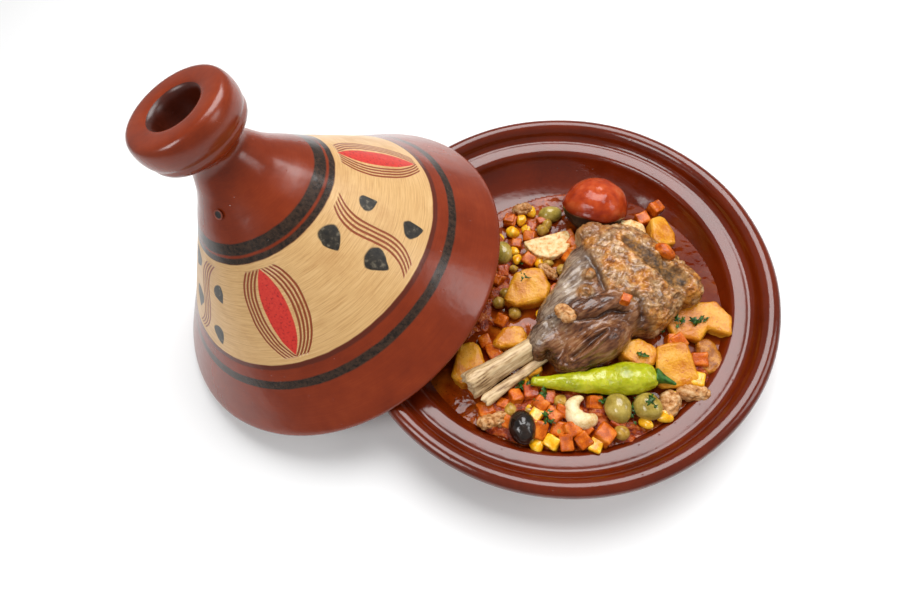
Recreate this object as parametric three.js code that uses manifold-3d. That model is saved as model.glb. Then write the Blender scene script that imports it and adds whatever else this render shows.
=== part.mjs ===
// Lamb shank tagine: a glazed earthenware dish with a stew of lamb and vegetables in it, and
// its conical lid leaning on the rim. Millimetres, +Z up. The origin is the centre of the
// dish's flat foot, and the lid leans over from -X.
import * as THREE from 'three';
import { mergeVertices } from 'three/addons/utils/BufferGeometryUtils.js';
import Module from 'manifold-3d';

const wasm = await Module();
wasm.setup();

// Driving dimensions.
const DISH_RADIUS = 150;
const DISH_HEIGHT = 45.2;
const FOOT_RADIUS = 91;
const FLOOR_HEIGHT = 6;
const FLOOR_RADIUS = 64;
const WALL_TOP = [121.5, 30.5];

const LID_RADIUS = 133.7;
const LID_BAND = { low: [96.9, 41.3], high: [50.7, 92.6] };
const LID_NECK = [19, 139];
const KNOB_RADIUS = 34.4;
const LID_HEIGHT = 171;
const LID_CENTRE_X = -167.4;
const LID_TILT = THREE.MathUtils.degToRad(13.1);
const LID_MOUTH = [127, 0];
const VENT = {
  radius: 2.3, height: 116.5, azimuth: THREE.MathUtils.degToRad(-101), middle: 30, length: 40,
};

// The thick stew lies a little to one side, deeper towards the front right.
const STEW_LEVEL = 16.5;
const STEW_TILT = THREE.MathUtils.degToRad(5.5);
const STEW_DEEP_SIDE = THREE.MathUtils.degToRad(-53);

const GAP = 0.3;
// A vertex at a corner moves this many gaps, so that the faces around it move one gap or more.
const CORNER_GAPS = 1.4;
const LATHE_SEGMENTS = 28;
const SMALL_SEGMENTS = 8;
const WALL_STEPS = 5;
const LIP_STEPS = 6;
const ABOVE_ALL = 200;

const clay = (color) => new THREE.MeshStandardMaterial({ color, roughness: 0.28, metalness: 0 });
const food = (color, roughness = 0.45) =>
  new THREE.MeshStandardMaterial({ color, roughness, metalness: 0 });
const GLAZE = clay(0x7c2c10);
const LID_GLAZE = clay(0x96371a);
const SAUCE = food(0x8a3a12, 0.2);
const MEAT = food(0x6b5244);
const BONE = food(0xd2b184, 0.6);
const TOMATO = food(0xb8381c, 0.2);
const CHILLI = food(0xa9b40a, 0.25);
const STEM = food(0x2f6414);
const OLIVE = food(0x9a9040, 0.3);
const BLACK_OLIVE = food(0x241a16, 0.3);
const POTATO = food(0xd89028);
const NUT = food(0xd0a060, 0.55);
const CARROT = food(0xd0521e);
const CORN = food(0xf0b010);
const PEA = food(0xa08830);
const MIX = food(0xc06020);

// ---- Geometry helpers ----

// Joins the shared vertices, drops collapsed triangles and turns the faces outwards.
function weld(geometry) {
  const bare = geometry.index ? geometry.clone() : geometry;
  bare.deleteAttribute('normal');
  bare.deleteAttribute('uv');
  const merged = mergeVertices(bare, 1e-4);
  const index = [];
  const old = merged.index.array;
  for (let i = 0; i < old.length; i += 3) {
    const [a, b, c] = [old[i], old[i + 1], old[i + 2]];
    if (a !== b && b !== c && c !== a) index.push(a, b, c);
  }
  merged.setIndex(index);
  if (volumeOf(merged) < 0) merged.setIndex(index.reverse());
  return merged;
}

function volumeOf(geometry) {
  const at = geometry.attributes.position;
  const [a, b, c] = [new THREE.Vector3(), new THREE.Vector3(), new THREE.Vector3()];
  let sum = 0;
  for (let i = 0; i < geometry.index.count; i += 3) {
    a.fromBufferAttribute(at, geometry.index.getX(i));
    b.fromBufferAttribute(at, geometry.index.getX(i + 1));
    c.fromBufferAttribute(at, geometry.index.getX(i + 2));
    sum += a.dot(b.cross(c)) / 6;
  }
  return sum;
}

function toSolid(geometry) {
  const merged = weld(geometry);
  return new wasm.Manifold(new wasm.Mesh({
    numProp: 3,
    vertProperties: new Float32Array(merged.attributes.position.array),
    triVerts: new Uint32Array(merged.index.array),
  }));
}

// The same shape, larger by a small gap all round, for cutting the room it needs.
function grown(geometry) {
  const merged = weld(geometry);
  merged.computeVertexNormals();
  const { position, normal } = merged.attributes;
  const step = GAP * CORNER_GAPS;
  for (let i = 0; i < position.count; i++) {
    position.setXYZ(
      i,
      position.getX(i) + normal.getX(i) * step,
      position.getY(i) + normal.getY(i) * step,
      position.getZ(i) + normal.getZ(i) * step,
    );
  }
  return toSolid(merged);
}

function toMesh(name, solid, material) {
  const { numProp, vertProperties, triVerts } = solid.getMesh();
  const position = new Float32Array((vertProperties.length / numProp) * 3);
  for (let i = 0; i < position.length / 3; i++) {
    position.set(vertProperties.subarray(i * numProp, i * numProp + 3), i * 3);
  }
  const geometry = new THREE.BufferGeometry();
  geometry.setAttribute('position', new THREE.BufferAttribute(position, 3));
  geometry.setIndex(new THREE.BufferAttribute(new Uint32Array(triVerts), 1));
  geometry.computeVertexNormals();
  const mesh = new THREE.Mesh(geometry, material);
  mesh.name = name;
  return mesh;
}

// A cut can leave crumbs behind: the piece is the largest body.
function largest(solid) {
  const bodies = solid.decompose();
  return bodies.reduce((best, body) => (body.volume() > best.volume() ? body : best));
}

const unite = (solids) => solids.reduce((sum, solid) => sum.add(solid));

const vectors = (points) => points.map(([r, z]) => new THREE.Vector2(r, z));

// A body of revolution about +Z from a profile of (radius, height) points.
function turned(points, segments = LATHE_SEGMENTS) {
  return new THREE.LatheGeometry(points, segments).rotateX(Math.PI / 2);
}

// ---- Dish ----

const wallCurve = new THREE.CubicBezierCurve(
  new THREE.Vector2(FLOOR_RADIUS, FLOOR_HEIGHT),
  new THREE.Vector2(96, FLOOR_HEIGHT),
  new THREE.Vector2(114, 15),
  new THREE.Vector2(...WALL_TOP),
);

function dishProfile() {
  const outside = vectors([
    [0, 0], [FOOT_RADIUS, 0], [94.5, 1.3], [112, 10.5], [133, 25], [141, 31.8], [146.5, 34.3],
  ]);
  const lipPoints = [
    [149.2, 36.8], [DISH_RADIUS, 39.6], [148.6, 43], [144, DISH_HEIGHT], [140.2, 43.9], [137.6, 40.4],
  ];
  const lip = new THREE.SplineCurve(vectors(lipPoints)).getPoints(LIP_STEPS);
  const ledge = vectors([[134.6, 35], [131.5, 32.4], [128.6, 33.4], [125.4, 33.9]]);
  const wall = wallCurve.getPoints(WALL_STEPS).reverse();
  return [...outside, ...lip, ...ledge, ...wall, new THREE.Vector2(0, FLOOR_HEIGHT)];
}

const dish = toSolid(turned(dishProfile()));

// The room inside the dish, a gap clear of its wall, up past everything in it.
function roomInDish() {
  const inset = new THREE.Vector2(-GAP, GAP);
  const wall = wallCurve.getPoints(WALL_STEPS).map((p) => p.add(inset));
  return toSolid(turned([
    new THREE.Vector2(0, FLOOR_HEIGHT + GAP),
    ...wall,
    new THREE.Vector2(WALL_TOP[0] - GAP, ABOVE_ALL),
    new THREE.Vector2(0, ABOVE_ALL),
  ]));
}

const room = roomInDish();

// ---- Lid ----

function lidProfiles() {
  const [neckRadius, neckHeight] = LID_NECK;
  const outer = vectors([
    [129.5, 0], [132.4, 0.7], [LID_RADIUS, 2.6], [132.6, 5],
    LID_BAND.low, LID_BAND.high, [41.2, 104], [34, 112], [27.6, 120], [22.8, 128],
    [neckRadius, neckHeight - 4], [neckRadius + 0.4, neckHeight + 2],
  ]);
  const knob = vectors([
    [27, 144.4], [32.6, 147.6], [33.7, 151.4], [32.6, 154.8], [34, 157.6], [KNOB_RADIUS, 162],
    [32.6, 167.2], [28, LID_HEIGHT - 0.4], [20, LID_HEIGHT], [16.6, LID_HEIGHT - 3],
    [14.6, 156], [8, 147.4], [0, 146],
  ]);
  const inner = vectors([
    [0, 133], [9, 130], [18.6, 116], [41, 92], [87.4, 40.4], [123.4, 3], LID_MOUTH,
  ]);
  return { shell: [...outer, ...knob], inner };
}

// The shell between its outside with the knob and its hollow inside, with the steam vent.
function makeLid() {
  const { shell, inner } = lidProfiles();
  const full = toSolid(turned([new THREE.Vector2(0, 0), ...shell]));
  const [mouthRadius] = LID_MOUTH;
  const past = -5;
  const hollow = toSolid(turned([
    ...inner, new THREE.Vector2(mouthRadius, past), new THREE.Vector2(0, past),
  ]));
  const vent = new THREE.CylinderGeometry(VENT.radius, VENT.radius, VENT.length, SMALL_SEGMENTS)
    .rotateZ(Math.PI / 2)
    .translate(VENT.middle, 0, VENT.height)
    .rotateZ(VENT.azimuth);
  return full.subtract(hollow).subtract(toSolid(vent));
}

// The lid's foot touches the table on its far side, and its raised side lies on the lip.
function leanLid(solid) {
  const place = new THREE.Matrix4().makeRotationY(-LID_TILT);
  const lean = solid.transform(place.elements);
  const lowest = lean.boundingBox().min[2];
  const shift = new THREE.Matrix4().makeTranslation(LID_CENTRE_X, 0, -lowest);
  return lean.transform(shift.elements);
}

const lid = leanLid(makeLid());

// ---- Stew ----

const slope = Math.tan(STEW_TILT);
const stewHeight = (x, y) =>
  STEW_LEVEL + slope * (x * Math.cos(STEW_DEEP_SIDE) + y * Math.sin(STEW_DEEP_SIDE));

// An ellipsoid whose sides grow squarer as the power rises above 2.
function lump(semi, power = 2, wide = 9, high = 6) {
  const geometry = new THREE.SphereGeometry(1, wide, high).rotateX(Math.PI / 2);
  const at = geometry.attributes.position;
  for (let i = 0; i < at.count; i++) {
    const p = [at.getX(i), at.getY(i), at.getZ(i)];
    const size = p.reduce((sum, v) => sum + Math.abs(v) ** power, 0) ** (1 / power);
    at.setXYZ(i, ...p.map((v, axis) => (v / size) * semi[axis]));
  }
  return geometry;
}

// A cut piece: an outline with bevelled edges, lying flat and centred on its thickness.
function slab(outline, thick, bevel = 1.5) {
  const shape = new THREE.Shape(vectors(outline));
  return new THREE.ExtrudeGeometry(shape, {
    depth: thick - 2 * bevel,
    bevelThickness: bevel,
    bevelSize: bevel,
    bevelOffset: -bevel,
    bevelSegments: 1,
    steps: 1,
  }).translate(0, 0, bevel - thick / 2);
}

// A chunk's outline: a box with its corners cut to different lengths.
function chunkOutline(w, d, cut = 0.25) {
  return [
    [-w / 2, -d / 2 + d * cut], [-w / 2 + w * cut, -d / 2], [w / 2 - w * cut * 0.6, -d / 2],
    [w / 2, -d / 2 + d * cut * 1.3], [w / 2 - w * cut * 0.3, d / 2 - d * cut * 0.4],
    [w / 2 - w * cut * 1.2, d / 2], [-w / 2 + w * cut * 1.4, d / 2 - d * 0.05],
  ];
}

function arcOutline(radius, from, to, steps) {
  return Array.from({ length: steps + 1 }, (_, i) => {
    const angle = from + ((to - from) * i) / steps;
    return [radius * Math.cos(angle), radius * Math.sin(angle)];
  });
}

const halfRound = (radius) => arcOutline(radius, -Math.PI, 0, 8);

function notched(w, d) {
  return [
    [-w / 2, -d * 0.2], [-w * 0.25, -d / 2], [w * 0.12, -d * 0.42], [w * 0.16, -d * 0.12],
    [w / 2, -d * 0.1], [w * 0.42, d * 0.28], [w * 0.12, d / 2], [-w * 0.2, d * 0.3],
  ];
}

// Bends a long shape that lies along X so that its middle drops back along +Y.
function bend(geometry, radius) {
  const at = geometry.attributes.position;
  for (let i = 0; i < at.count; i++) {
    const angle = at.getX(i) / radius;
    const arm = radius - at.getY(i);
    at.setXYZ(i, arm * Math.sin(angle), radius - arm * Math.cos(angle), at.getZ(i));
  }
  return geometry;
}

// Turns a shape by degrees about X, Y and then Z, and puts it in its place.
function place(geometry, [x, y, z], turn = [0, 0, 0]) {
  const [a, b, c] = turn.map(THREE.MathUtils.degToRad);
  return geometry.rotateX(a).rotateY(b).rotateZ(c).translate(x, y, z);
}

const onStew = (x, y, lift) => [x, y, stewHeight(x, y) + lift];

// A bone's shaft, flared towards its bare end, from inside the meat outwards.
function shaft(radius, flare, from, to) {
  const start = new THREE.Vector3(...from);
  const end = new THREE.Vector3(...to);
  const length = start.distanceTo(end);
  const profile = vectors([
    [0, 0], [radius, 0], [radius, length * 0.55], [flare * 0.97, length - 6], [flare, length - 1.5],
    [flare - 1.5, length], [0, length],
  ]);
  const geometry = new THREE.LatheGeometry(profile, SMALL_SEGMENTS);
  const axis = new THREE.Vector3(0, 1, 0);
  const turn = new THREE.Quaternion().setFromUnitVectors(axis, end.sub(start).normalize());
  return geometry.applyQuaternion(turn).translate(...from);
}

const bones = [
  ['shank_bone', BONE, shaft(6.6, 9.6, [-2, -47, 36], [-49.5, -86.5, 39])],
  ['shin_bone', BONE, shaft(3.1, 4.2, [2, -56, 31.5], [-38, -94.5, 33])],
];

// The shank lies across the dish at this angle from +X, in degrees.
const SHANK_TURN = 48.6;

// The shank's meat: its broad cut end, the middle, the long muscle and the knuckle.
const meatLumps = [
  place(lump([40, 46, 25], 2.8, 14, 8), [50, 5, 32], [0, 0, SHANK_TURN]),
  place(lump([42, 31, 23], 2.3, 10, 6), [27, -23, 33], [0, 0, SHANK_TURN]),
  place(lump([27, 18, 20], 2.2, 10, 6), [29, -50, 34], [0, 0, 25]),
  place(lump([15, 16, 17], 2.2), [1, -50, 34], [0, 0, 40]),
];

const chilliProfile = vectors([
  [0, 0], [2.2, 1.5], [4.6, 16], [6.9, 34], [9, 52], [10.2, 68], [9.6, 79], [6.4, 85.5],
  [4, 86.5], [0, 86.5],
]);
const stemProfile = vectors([
  [0, 0], [7, -0.6], [7.4, 1.4], [4.6, 5], [2.4, 10], [1.6, 17.5], [0, 18],
]);

// A turned piece laid along +X, bent a little, then put in its place.
function laid(profile, start, turn, radius) {
  const flat = new THREE.LatheGeometry(profile, SMALL_SEGMENTS).rotateZ(-Math.PI / 2);
  return place(bend(flat, radius), start, turn);
}

const chilli = laid(chilliProfile, [-9.5, -78.5, 35], [0, -1.5, 3], 420);
const chilliStem = laid(stemProfile, [76.5, -66.5, 37.6], [0, 4, -8], -60);

const olive = (x, y, lift, semi, turn) => place(lump(semi), onStew(x, y, lift), turn);
const nut = (x, y, lift, semi, turn) =>
  place(lump(semi, 2.6, SMALL_SEGMENTS, 5), onStew(x, y, lift), turn);
const dice = (x, y, lift, side, turn) =>
  place(new THREE.BoxGeometry(side, side, side), onStew(x, y, lift), turn);
const kernel = (x, y, lift, turn) =>
  place(lump([5, 4.2, 3.4], 2.6, SMALL_SEGMENTS, 5), onStew(x, y, lift), turn);
const pea = (x, y, lift, radius) =>
  place(lump([radius, radius, radius], 2, SMALL_SEGMENTS, 5), onStew(x, y, lift));
const chunk = (x, y, lift, [w, d, h], turn, cut) =>
  place(slab(chunkOutline(w, d, cut), h), onStew(x, y, lift), turn);

const cashewRod = lump([16.5, 5.2, 5], 2.2, SMALL_SEGMENTS, 12);
const cashew = place(bend(cashewRod, 9.5), onStew(20, -98, 8), [12, 0, -50]);

// What stands through the sauce, from the top of the pile downwards.
const standing = [
  ['tomato', TOMATO, place(lump([24, 24, 20], 2.3, 14, 8), [28, 71.5, 28])],
  ['chilli', CHILLI, chilli],
  ['chilli_stem', STEM, chilliStem],
  ...bones,
];

const potatoes = [
  ['potato_slice', place(slab(halfRound(16), 7), onStew(-6, 45, 4), [-6, 4, 22])],
  ['potato_big', chunk(-19, -3, 6, [36, 27, 20], [6, -4, 18])],
  ['potato_small', chunk(-27, -45, 5, [26, 17, 15], [0, 4, 10])],
  ['potato_under_lid', chunk(-54, -68, 5, [26, 30, 18], [0, 0, 20])],
  ['potato_under_bone', chunk(-10, -66, 4, [16, 14, 14], [0, 0, 30])],
  ['potato_notched', place(slab(notched(44, 34), 12), onStew(101, -20, 3.5), [4, -6, -20])],
  ['potato_square', chunk(82, -55, 5, [27, 29, 12], [8, -4, 12], 0.15)],
  ['potato_wedge', chunk(60, -48, 4, [26, 18, 14], [0, 0, -30])],
  ['potato_far', chunk(77, 54, 4, [19, 25, 15], [0, 10, 20])],
  ['potato_pale', place(lump([11, 6.5, 6], 2.6), onStew(57, 58, 6), [0, 0, -15])],
  ['potato_brown', chunk(105, -45, 1.5, [18, 24, 8], [0, 0, 20])],
];

// How far apart the dice lie in a bed.
const DICE_PITCH = 11;

// A bed of small diced vegetables: a low mound with a knobbly top.
function mound(x, y, [a, b, h], turn) {
  const geometry = lump([a, b, h], 3, 14, 7);
  const at = geometry.attributes.position;
  const waves = (2 * Math.PI) / DICE_PITCH;
  for (let i = 0; i < at.count; i++) {
    const [px, py, pz] = [at.getX(i), at.getY(i), at.getZ(i)];
    const knobs = Math.sin(waves * px) * Math.cos(waves * py);
    const spread = 1 + 0.05 * knobs;
    at.setXYZ(i, px * spread, py * spread, pz + (pz > 0 ? 1.2 * knobs : 0));
  }
  return place(geometry, onStew(x, y, 0), [0, 0, turn]);
}

const heaps = [
  ['heap_front', mound(18, -98, [62, 21, 8], 4)],
  ['heap_left', mound(-62, 2, [34, 66, 5], 8)],
  ['heap_right', mound(97, -60, [15, 11, 6], 50)],
];

// What lies on the sauce, the beds or the meat, and sinks no deeper.
const lying = [
  ['walnut_top', NUT, nut(9.5, -36, 37, [6.5, 5, 4], [20, 0, 40])],
  ['carrot_top_1', CARROT, dice(78, 27, 33, 10, [10, 15, 30])],
  ['carrot_top_2', CARROT, dice(47, -24, 38.5, 8, [0, 10, 20])],
  ['cashew', NUT, cashew],
  ['olive_1', OLIVE, olive(-5, 73, 3.5, [8.6, 6.8, 6.6], [0, 0, 10])],
  ['olive_2', OLIVE, olive(-40, 31, 4, [8, 10, 7.4], [0, 0, 0])],
  ['olive_3', OLIVE, olive(47.5, -88, 8, [8.4, 10, 8], [0, 0, 10])],
  ['olive_4', OLIVE, olive(66, -86, 8, [9, 8.4, 8], [0, 0, 0])],
  ['black_olive', BLACK_OLIVE, olive(-12, -108, 9, [8.8, 11, 8.6], [0, 0, 15])],
  ['walnut_1', NUT, nut(-28.5, 76, 4, [6, 5, 4], [0, 0, 0])],
  ['walnut_2', NUT, nut(-3.5, 15, 5, [5, 8, 4.5], [0, 0, 20])],
  ['walnut_3', NUT, nut(-31, -105, 7, [5.5, 10.5, 5], [0, 0, -40])],
  ['walnut_4', NUT, nut(79, -82, 6, [6, 9.5, 5], [0, 0, -20])],
  ['walnut_5', NUT, nut(94.5, -72.5, 6, [9, 6, 5], [0, 0, 20])],
  ['carrot_lone', CARROT, dice(77, 83, 3, 10.5, [10, 0, 10])],
  ['carrot_1', CARROT, dice(67, 70, 3, 10, [0, 0, 35])],
  ['carrot_2', CARROT, dice(-1.5, -3, 4, 11, [10, 10, 50])],
  ['carrot_3', CARROT, dice(-18.5, 26, 3, 10, [0, 10, 20])],
  ['carrot_4', CARROT, dice(-37, 64.5, 3, 10, [0, 0, 10])],
  ['carrot_5', CARROT, dice(85, -35.5, 2, 10.5, [0, 0, 10])],
  ['carrot_6', CARROT, dice(14, 34, 2, 11, [0, 0, 60])],
  ['corn_1', CORN, kernel(-29, 66, 2.5, [0, 0, 20])],
  ['corn_2', CORN, kernel(-22.5, 76, 2.5, [0, 0, 70])],
  ['corn_3', CORN, kernel(-34, 54, 2, [0, 0, 0])],
  ['corn_4', CORN, kernel(-22, 57, 2, [0, 0, 40])],
  ['pea_1', PEA, pea(-10, 56.5, 2.5, 5)],
  ['pea_2', PEA, pea(7, 18.5, 3.5, 4.6)],
  ['pea_3', PEA, pea(-25, -22, 3, 5)],
];

// ---- Assembly ----

const model = new THREE.Group();
model.name = 'lamb_shank_tagine';
model.add(toMesh('dish', dish, GLAZE));
model.add(toMesh('lid', lid, LID_GLAZE));

// The stew's sloping surface, as the half of space below it or a gap above it.
function halfSpace(side, offset) {
  const across = 3 * DISH_RADIUS;
  const box = new THREE.BoxGeometry(across, across, ABOVE_ALL)
    .translate(0, 0, (side * ABOVE_ALL) / 2);
  const axis = new THREE.Vector3(Math.sin(STEW_DEEP_SIDE), -Math.cos(STEW_DEEP_SIDE), 0);
  const turn = new THREE.Quaternion().setFromAxisAngle(axis, STEW_TILT);
  return toSolid(box.applyQuaternion(turn).translate(0, 0, STEW_LEVEL + offset));
}

const belowStew = halfSpace(-1, 0).intersect(room);
const aboveStew = halfSpace(1, GAP).intersect(room);

// Each piece is cut clear of those added before it, and then claims its own room.
let taken = null;
function addPiece(name, material, solid, cutter, within) {
  const clear = taken ? solid.subtract(taken) : solid;
  model.add(toMesh(name, largest(clear.intersect(within)), material));
  taken = taken ? taken.add(cutter) : cutter;
}

for (const [name, material, geometry] of standing) {
  addPiece(name, material, toSolid(geometry), grown(geometry), room);
}
const meatRoom = unite(meatLumps.map((part) => grown(part)));
addPiece('lamb_meat', MEAT, unite(meatLumps.map(toSolid)), meatRoom, room);
for (const [name, geometry] of potatoes) {
  addPiece(name, POTATO, toSolid(geometry), grown(geometry), room);
}
model.add(toMesh('sauce', largest(belowStew.subtract(taken)), SAUCE));
for (const [name, geometry] of heaps) {
  addPiece(name, MIX, toSolid(geometry), grown(geometry), aboveStew);
}
for (const [name, material, geometry] of lying) {
  addPiece(name, material, toSolid(geometry), grown(geometry), aboveStew);
}

export default model;
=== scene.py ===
"""A glazed earthenware tagine: a dish of braised lamb shank with vegetables, and its leaning lid.

Metres, +Z up, with the origin at the centre of the dish's foot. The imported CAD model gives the
frame, and each operator below makes one piece, or one group of like pieces, at its real size.
"""

import math
import random

import bmesh
import bpy
from mathutils import Matrix, Quaternion, Vector, noise


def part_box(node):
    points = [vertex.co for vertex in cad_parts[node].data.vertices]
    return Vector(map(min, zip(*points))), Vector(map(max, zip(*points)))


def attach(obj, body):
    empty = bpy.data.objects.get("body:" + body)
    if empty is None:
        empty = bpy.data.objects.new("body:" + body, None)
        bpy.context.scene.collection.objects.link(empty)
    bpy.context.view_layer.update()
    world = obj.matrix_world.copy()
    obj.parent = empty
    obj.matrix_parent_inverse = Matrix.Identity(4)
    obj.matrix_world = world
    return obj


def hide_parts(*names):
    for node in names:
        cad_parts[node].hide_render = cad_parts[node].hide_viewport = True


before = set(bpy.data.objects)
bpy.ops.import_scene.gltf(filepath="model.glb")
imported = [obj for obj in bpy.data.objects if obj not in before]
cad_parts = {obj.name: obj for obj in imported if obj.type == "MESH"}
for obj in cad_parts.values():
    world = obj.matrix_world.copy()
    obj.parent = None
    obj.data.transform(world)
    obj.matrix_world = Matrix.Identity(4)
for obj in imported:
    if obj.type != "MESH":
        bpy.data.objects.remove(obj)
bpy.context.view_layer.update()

bl_info = {
    "name": "Lamb shank tagine",
    "version": (1, 0, 0),
    "blender": (4, 5, 0),
    "location": "3D View > Sidebar > Tagine",
    "description": "Makes a glazed tagine with its lid, a braised lamb shank and vegetables",
    "category": "Add Mesh",
}

MM = 0.001
UP = Vector((0, 0, 1))

# ---- The stew's surface: a plane, a little deeper towards the front right ----

STEW_LEVEL = 16.5 * MM
STEW_TILT = math.radians(5.5)
STEW_DEEP_SIDE = math.radians(-53)


def stew_height(x, y):
    """The height of the stew's surface at a place in plan."""
    along = x * math.cos(STEW_DEEP_SIDE) + y * math.sin(STEW_DEEP_SIDE)
    return STEW_LEVEL + math.tan(STEW_TILT) * along


# ---- Places ----


def node_box(name):
    """A CAD node's middle and its size."""
    low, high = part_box(name)
    return (low + high) / 2, high - low


def top_of(name, half_height):
    """The middle of a round piece whose top is the CAD node's top."""
    middle, size = node_box(name)
    return Vector((middle.x, middle.y, middle.z + size.z / 2 - half_height))


def placed(at, turn=(0, 0, 0), size=(1, 1, 1)):
    """The matrix that scales a shape, turns it by degrees about X, Y and Z, and moves it."""
    matrix = Matrix.Translation(at)
    for axis, angle in zip("ZYX", reversed(turn)):
        matrix = matrix @ Matrix.Rotation(math.radians(angle), 4, axis)
    return matrix @ Matrix.Diagonal((*size, 1))


# ---- Mesh helpers ----


def in_mm(points):
    """Flat points given in millimetres, in metres."""
    return [(x * MM, y * MM) for x, y in points]


def bell(distance, width, power=2):
    """1 at a distance of 0, falling smoothly to nothing past the width."""
    return math.exp(-((distance / width) ** power))


def smoothstep(low, high, value):
    """0 at the low limit, 1 at the high one, with a smooth rise between them."""
    t = max(0, min(1, (value - low) / (high - low)))
    return t * t * (3 - 2 * t)


def rounded(points, cut, steps=4, longest=None):
    """A line through the points with each corner rounded, its long straights divided."""
    points = [Vector(p) for p in points]
    line = [points[0]]
    for before, corner, after in zip(points, points[1:], points[2:]):
        back, on = before - corner, after - corner
        start = corner + back.normalized() * min(cut, back.length / 2)
        end = corner + on.normalized() * min(cut, on.length / 2)
        for i in range(steps + 1):
            t = i / steps
            line.append((1 - t) ** 2 * start + 2 * t * (1 - t) * corner + t * t * end)
    line.append(points[-1])
    if longest is None:
        return line
    full = [line[0]]
    for a, b in zip(line, line[1:]):
        parts = max(1, math.ceil((b - a).length / longest))
        full += [a.lerp(b, i / parts) for i in range(1, parts + 1)]
    return full


def spun(profile, steps, closed=True):
    """A body of revolution about Z from (radius, height) points, normals outwards."""
    bm = bmesh.new()
    verts = [bm.verts.new((p[0], 0, p[1])) for p in profile]
    pairs = list(zip(verts, verts[1:]))
    if closed:
        pairs.append((verts[-1], verts[0]))
    edges = [bm.edges.new(pair) for pair in pairs]
    bmesh.ops.spin(
        bm, geom=verts + edges, cent=(0, 0, 0), axis=UP, angle=math.tau,
        steps=steps, use_merge=True,
    )
    tidy(bm)
    return bm


def tidy(bm):
    """Joins points that meet, and turns every face outwards."""
    nearest = 0.001 * MM
    bmesh.ops.remove_doubles(bm, verts=bm.verts, dist=nearest)
    bmesh.ops.dissolve_degenerate(bm, edges=bm.edges, dist=nearest)
    bmesh.ops.recalc_face_normals(bm, faces=bm.faces)


def moved(bm, matrix):
    """Moves a shape, and gives it back."""
    bmesh.ops.transform(bm, matrix=matrix, verts=bm.verts)
    return bm


def ball(radii, across=24, down=14):
    """An ellipsoid of three half sizes."""
    bm = bmesh.new()
    bmesh.ops.create_uvsphere(bm, u_segments=across, v_segments=down, radius=1)
    bmesh.ops.scale(bm, vec=radii, verts=bm.verts)
    return bm


def widened(v, share):
    """Moves a point away from Z, or towards it."""
    v.co.x *= share
    v.co.y *= share


def relaxed(bm, factor, times=1):
    """Draws every point towards its neighbours."""
    for _ in range(times):
        bmesh.ops.smooth_vert(
            bm, verts=bm.verts, factor=factor, use_axis_x=True, use_axis_y=True, use_axis_z=True,
        )
    return bm


def roughened(bm, size, depth, seed=0, ridged=False, octaves=2):
    """Pushes the surface in and out by noise whose lumps are about `size` across."""
    bm.normal_update()
    shift = Vector((seed * 3.7, seed * 1.3, seed * 7.9))
    for v in bm.verts:
        n = noise.fractal(v.co / size + shift, 1.0, 2.0, octaves)
        n = 0.5 - abs(n) if ridged else n
        v.co += v.normal * (n * depth)
    return bm


def outline_block(outline, thick, bevel):
    """A flat block with a given outline and rounded edges, centred on its thickness."""
    bm = bmesh.new()
    face = bm.faces.new([bm.verts.new((x, y, -thick / 2)) for x, y in outline])
    made = bmesh.ops.extrude_face_region(bm, geom=[face])["geom"]
    top = [g for g in made if isinstance(g, bmesh.types.BMVert)]
    bmesh.ops.translate(bm, vec=(0, 0, thick), verts=top)
    bmesh.ops.recalc_face_normals(bm, faces=bm.faces)
    bmesh.ops.bevel(
        bm, geom=bm.edges[:], offset=bevel, offset_type="OFFSET", segments=3,
        profile=0.5, affect="EDGES", material=-1,
    )
    return bm


def refined(bm, cuts, smooth):
    """Divides every edge and relaxes the shape."""
    bmesh.ops.triangulate(bm, faces=[f for f in bm.faces if len(f.verts) > 4])
    bmesh.ops.subdivide_edges(bm, edges=bm.edges[:], cuts=cuts, use_grid_fill=True)
    return relaxed(bm, smooth)


def dented(bm, centre, radius, depth, direction=-UP):
    """Pushes in the surface round a point, deepest at the point itself."""
    for v in bm.verts:
        near = 1 - (v.co - centre).length / radius
        if near > 0:
            v.co += direction * (depth * near * near * (3 - 2 * near))
    return bm


def meshed(bm, name):
    """Turns a shape into a mesh."""
    mesh = bpy.data.meshes.new(name)
    bm.to_mesh(mesh)
    bm.free()
    return mesh


def stamp(bm, template, matrix):
    """Adds a copy of a template mesh to bm."""
    count = len(bm.verts)
    bm.from_mesh(template)
    bm.verts.ensure_lookup_table()
    bmesh.ops.transform(bm, matrix=matrix, verts=bm.verts[count:])


def piece(name, bm, materials, nodes=()):
    """Makes a finished mesh an object that rides on the one body and stands for CAD nodes."""
    mesh = meshed(bm, name)
    mesh.shade_smooth()
    for material in materials:
        mesh.materials.append(material)
    obj = bpy.data.objects.new(name, mesh)
    bpy.context.scene.collection.objects.link(obj)
    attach(obj, "root")
    if nodes:
        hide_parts(*nodes)
    return obj


# ---- Material helpers ----


def linear(colour):
    """The linear RGBA of an sRGB hex value."""
    parts = [((colour >> shift) & 255) / 255 for shift in (16, 8, 0)]
    return (*[c / 12.92 if c <= 0.04045 else ((c + 0.055) / 1.055) ** 2.4 for c in parts], 1)


def add(tree, kind, inputs=None, **settings):
    """Adds a node, sets its properties, and sets or links its inputs."""
    node = tree.nodes.new(kind)
    for key, value in settings.items():
        setattr(node, key, value)
    for key, value in (inputs or {}).items():
        if isinstance(value, bpy.types.NodeSocket):
            tree.links.new(value, node.inputs[key])
        else:
            node.inputs[key].default_value = value
    return node


def per(size_mm):
    """A texture scale on object coordinates in metres, for lumps of this size."""
    return 1 / (size_mm * MM)


def new_material(name):
    """A material with an empty node tree."""
    material = bpy.data.materials.new(name)
    material.use_nodes = True
    tree = material.node_tree
    tree.nodes.clear()
    return material, tree


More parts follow.
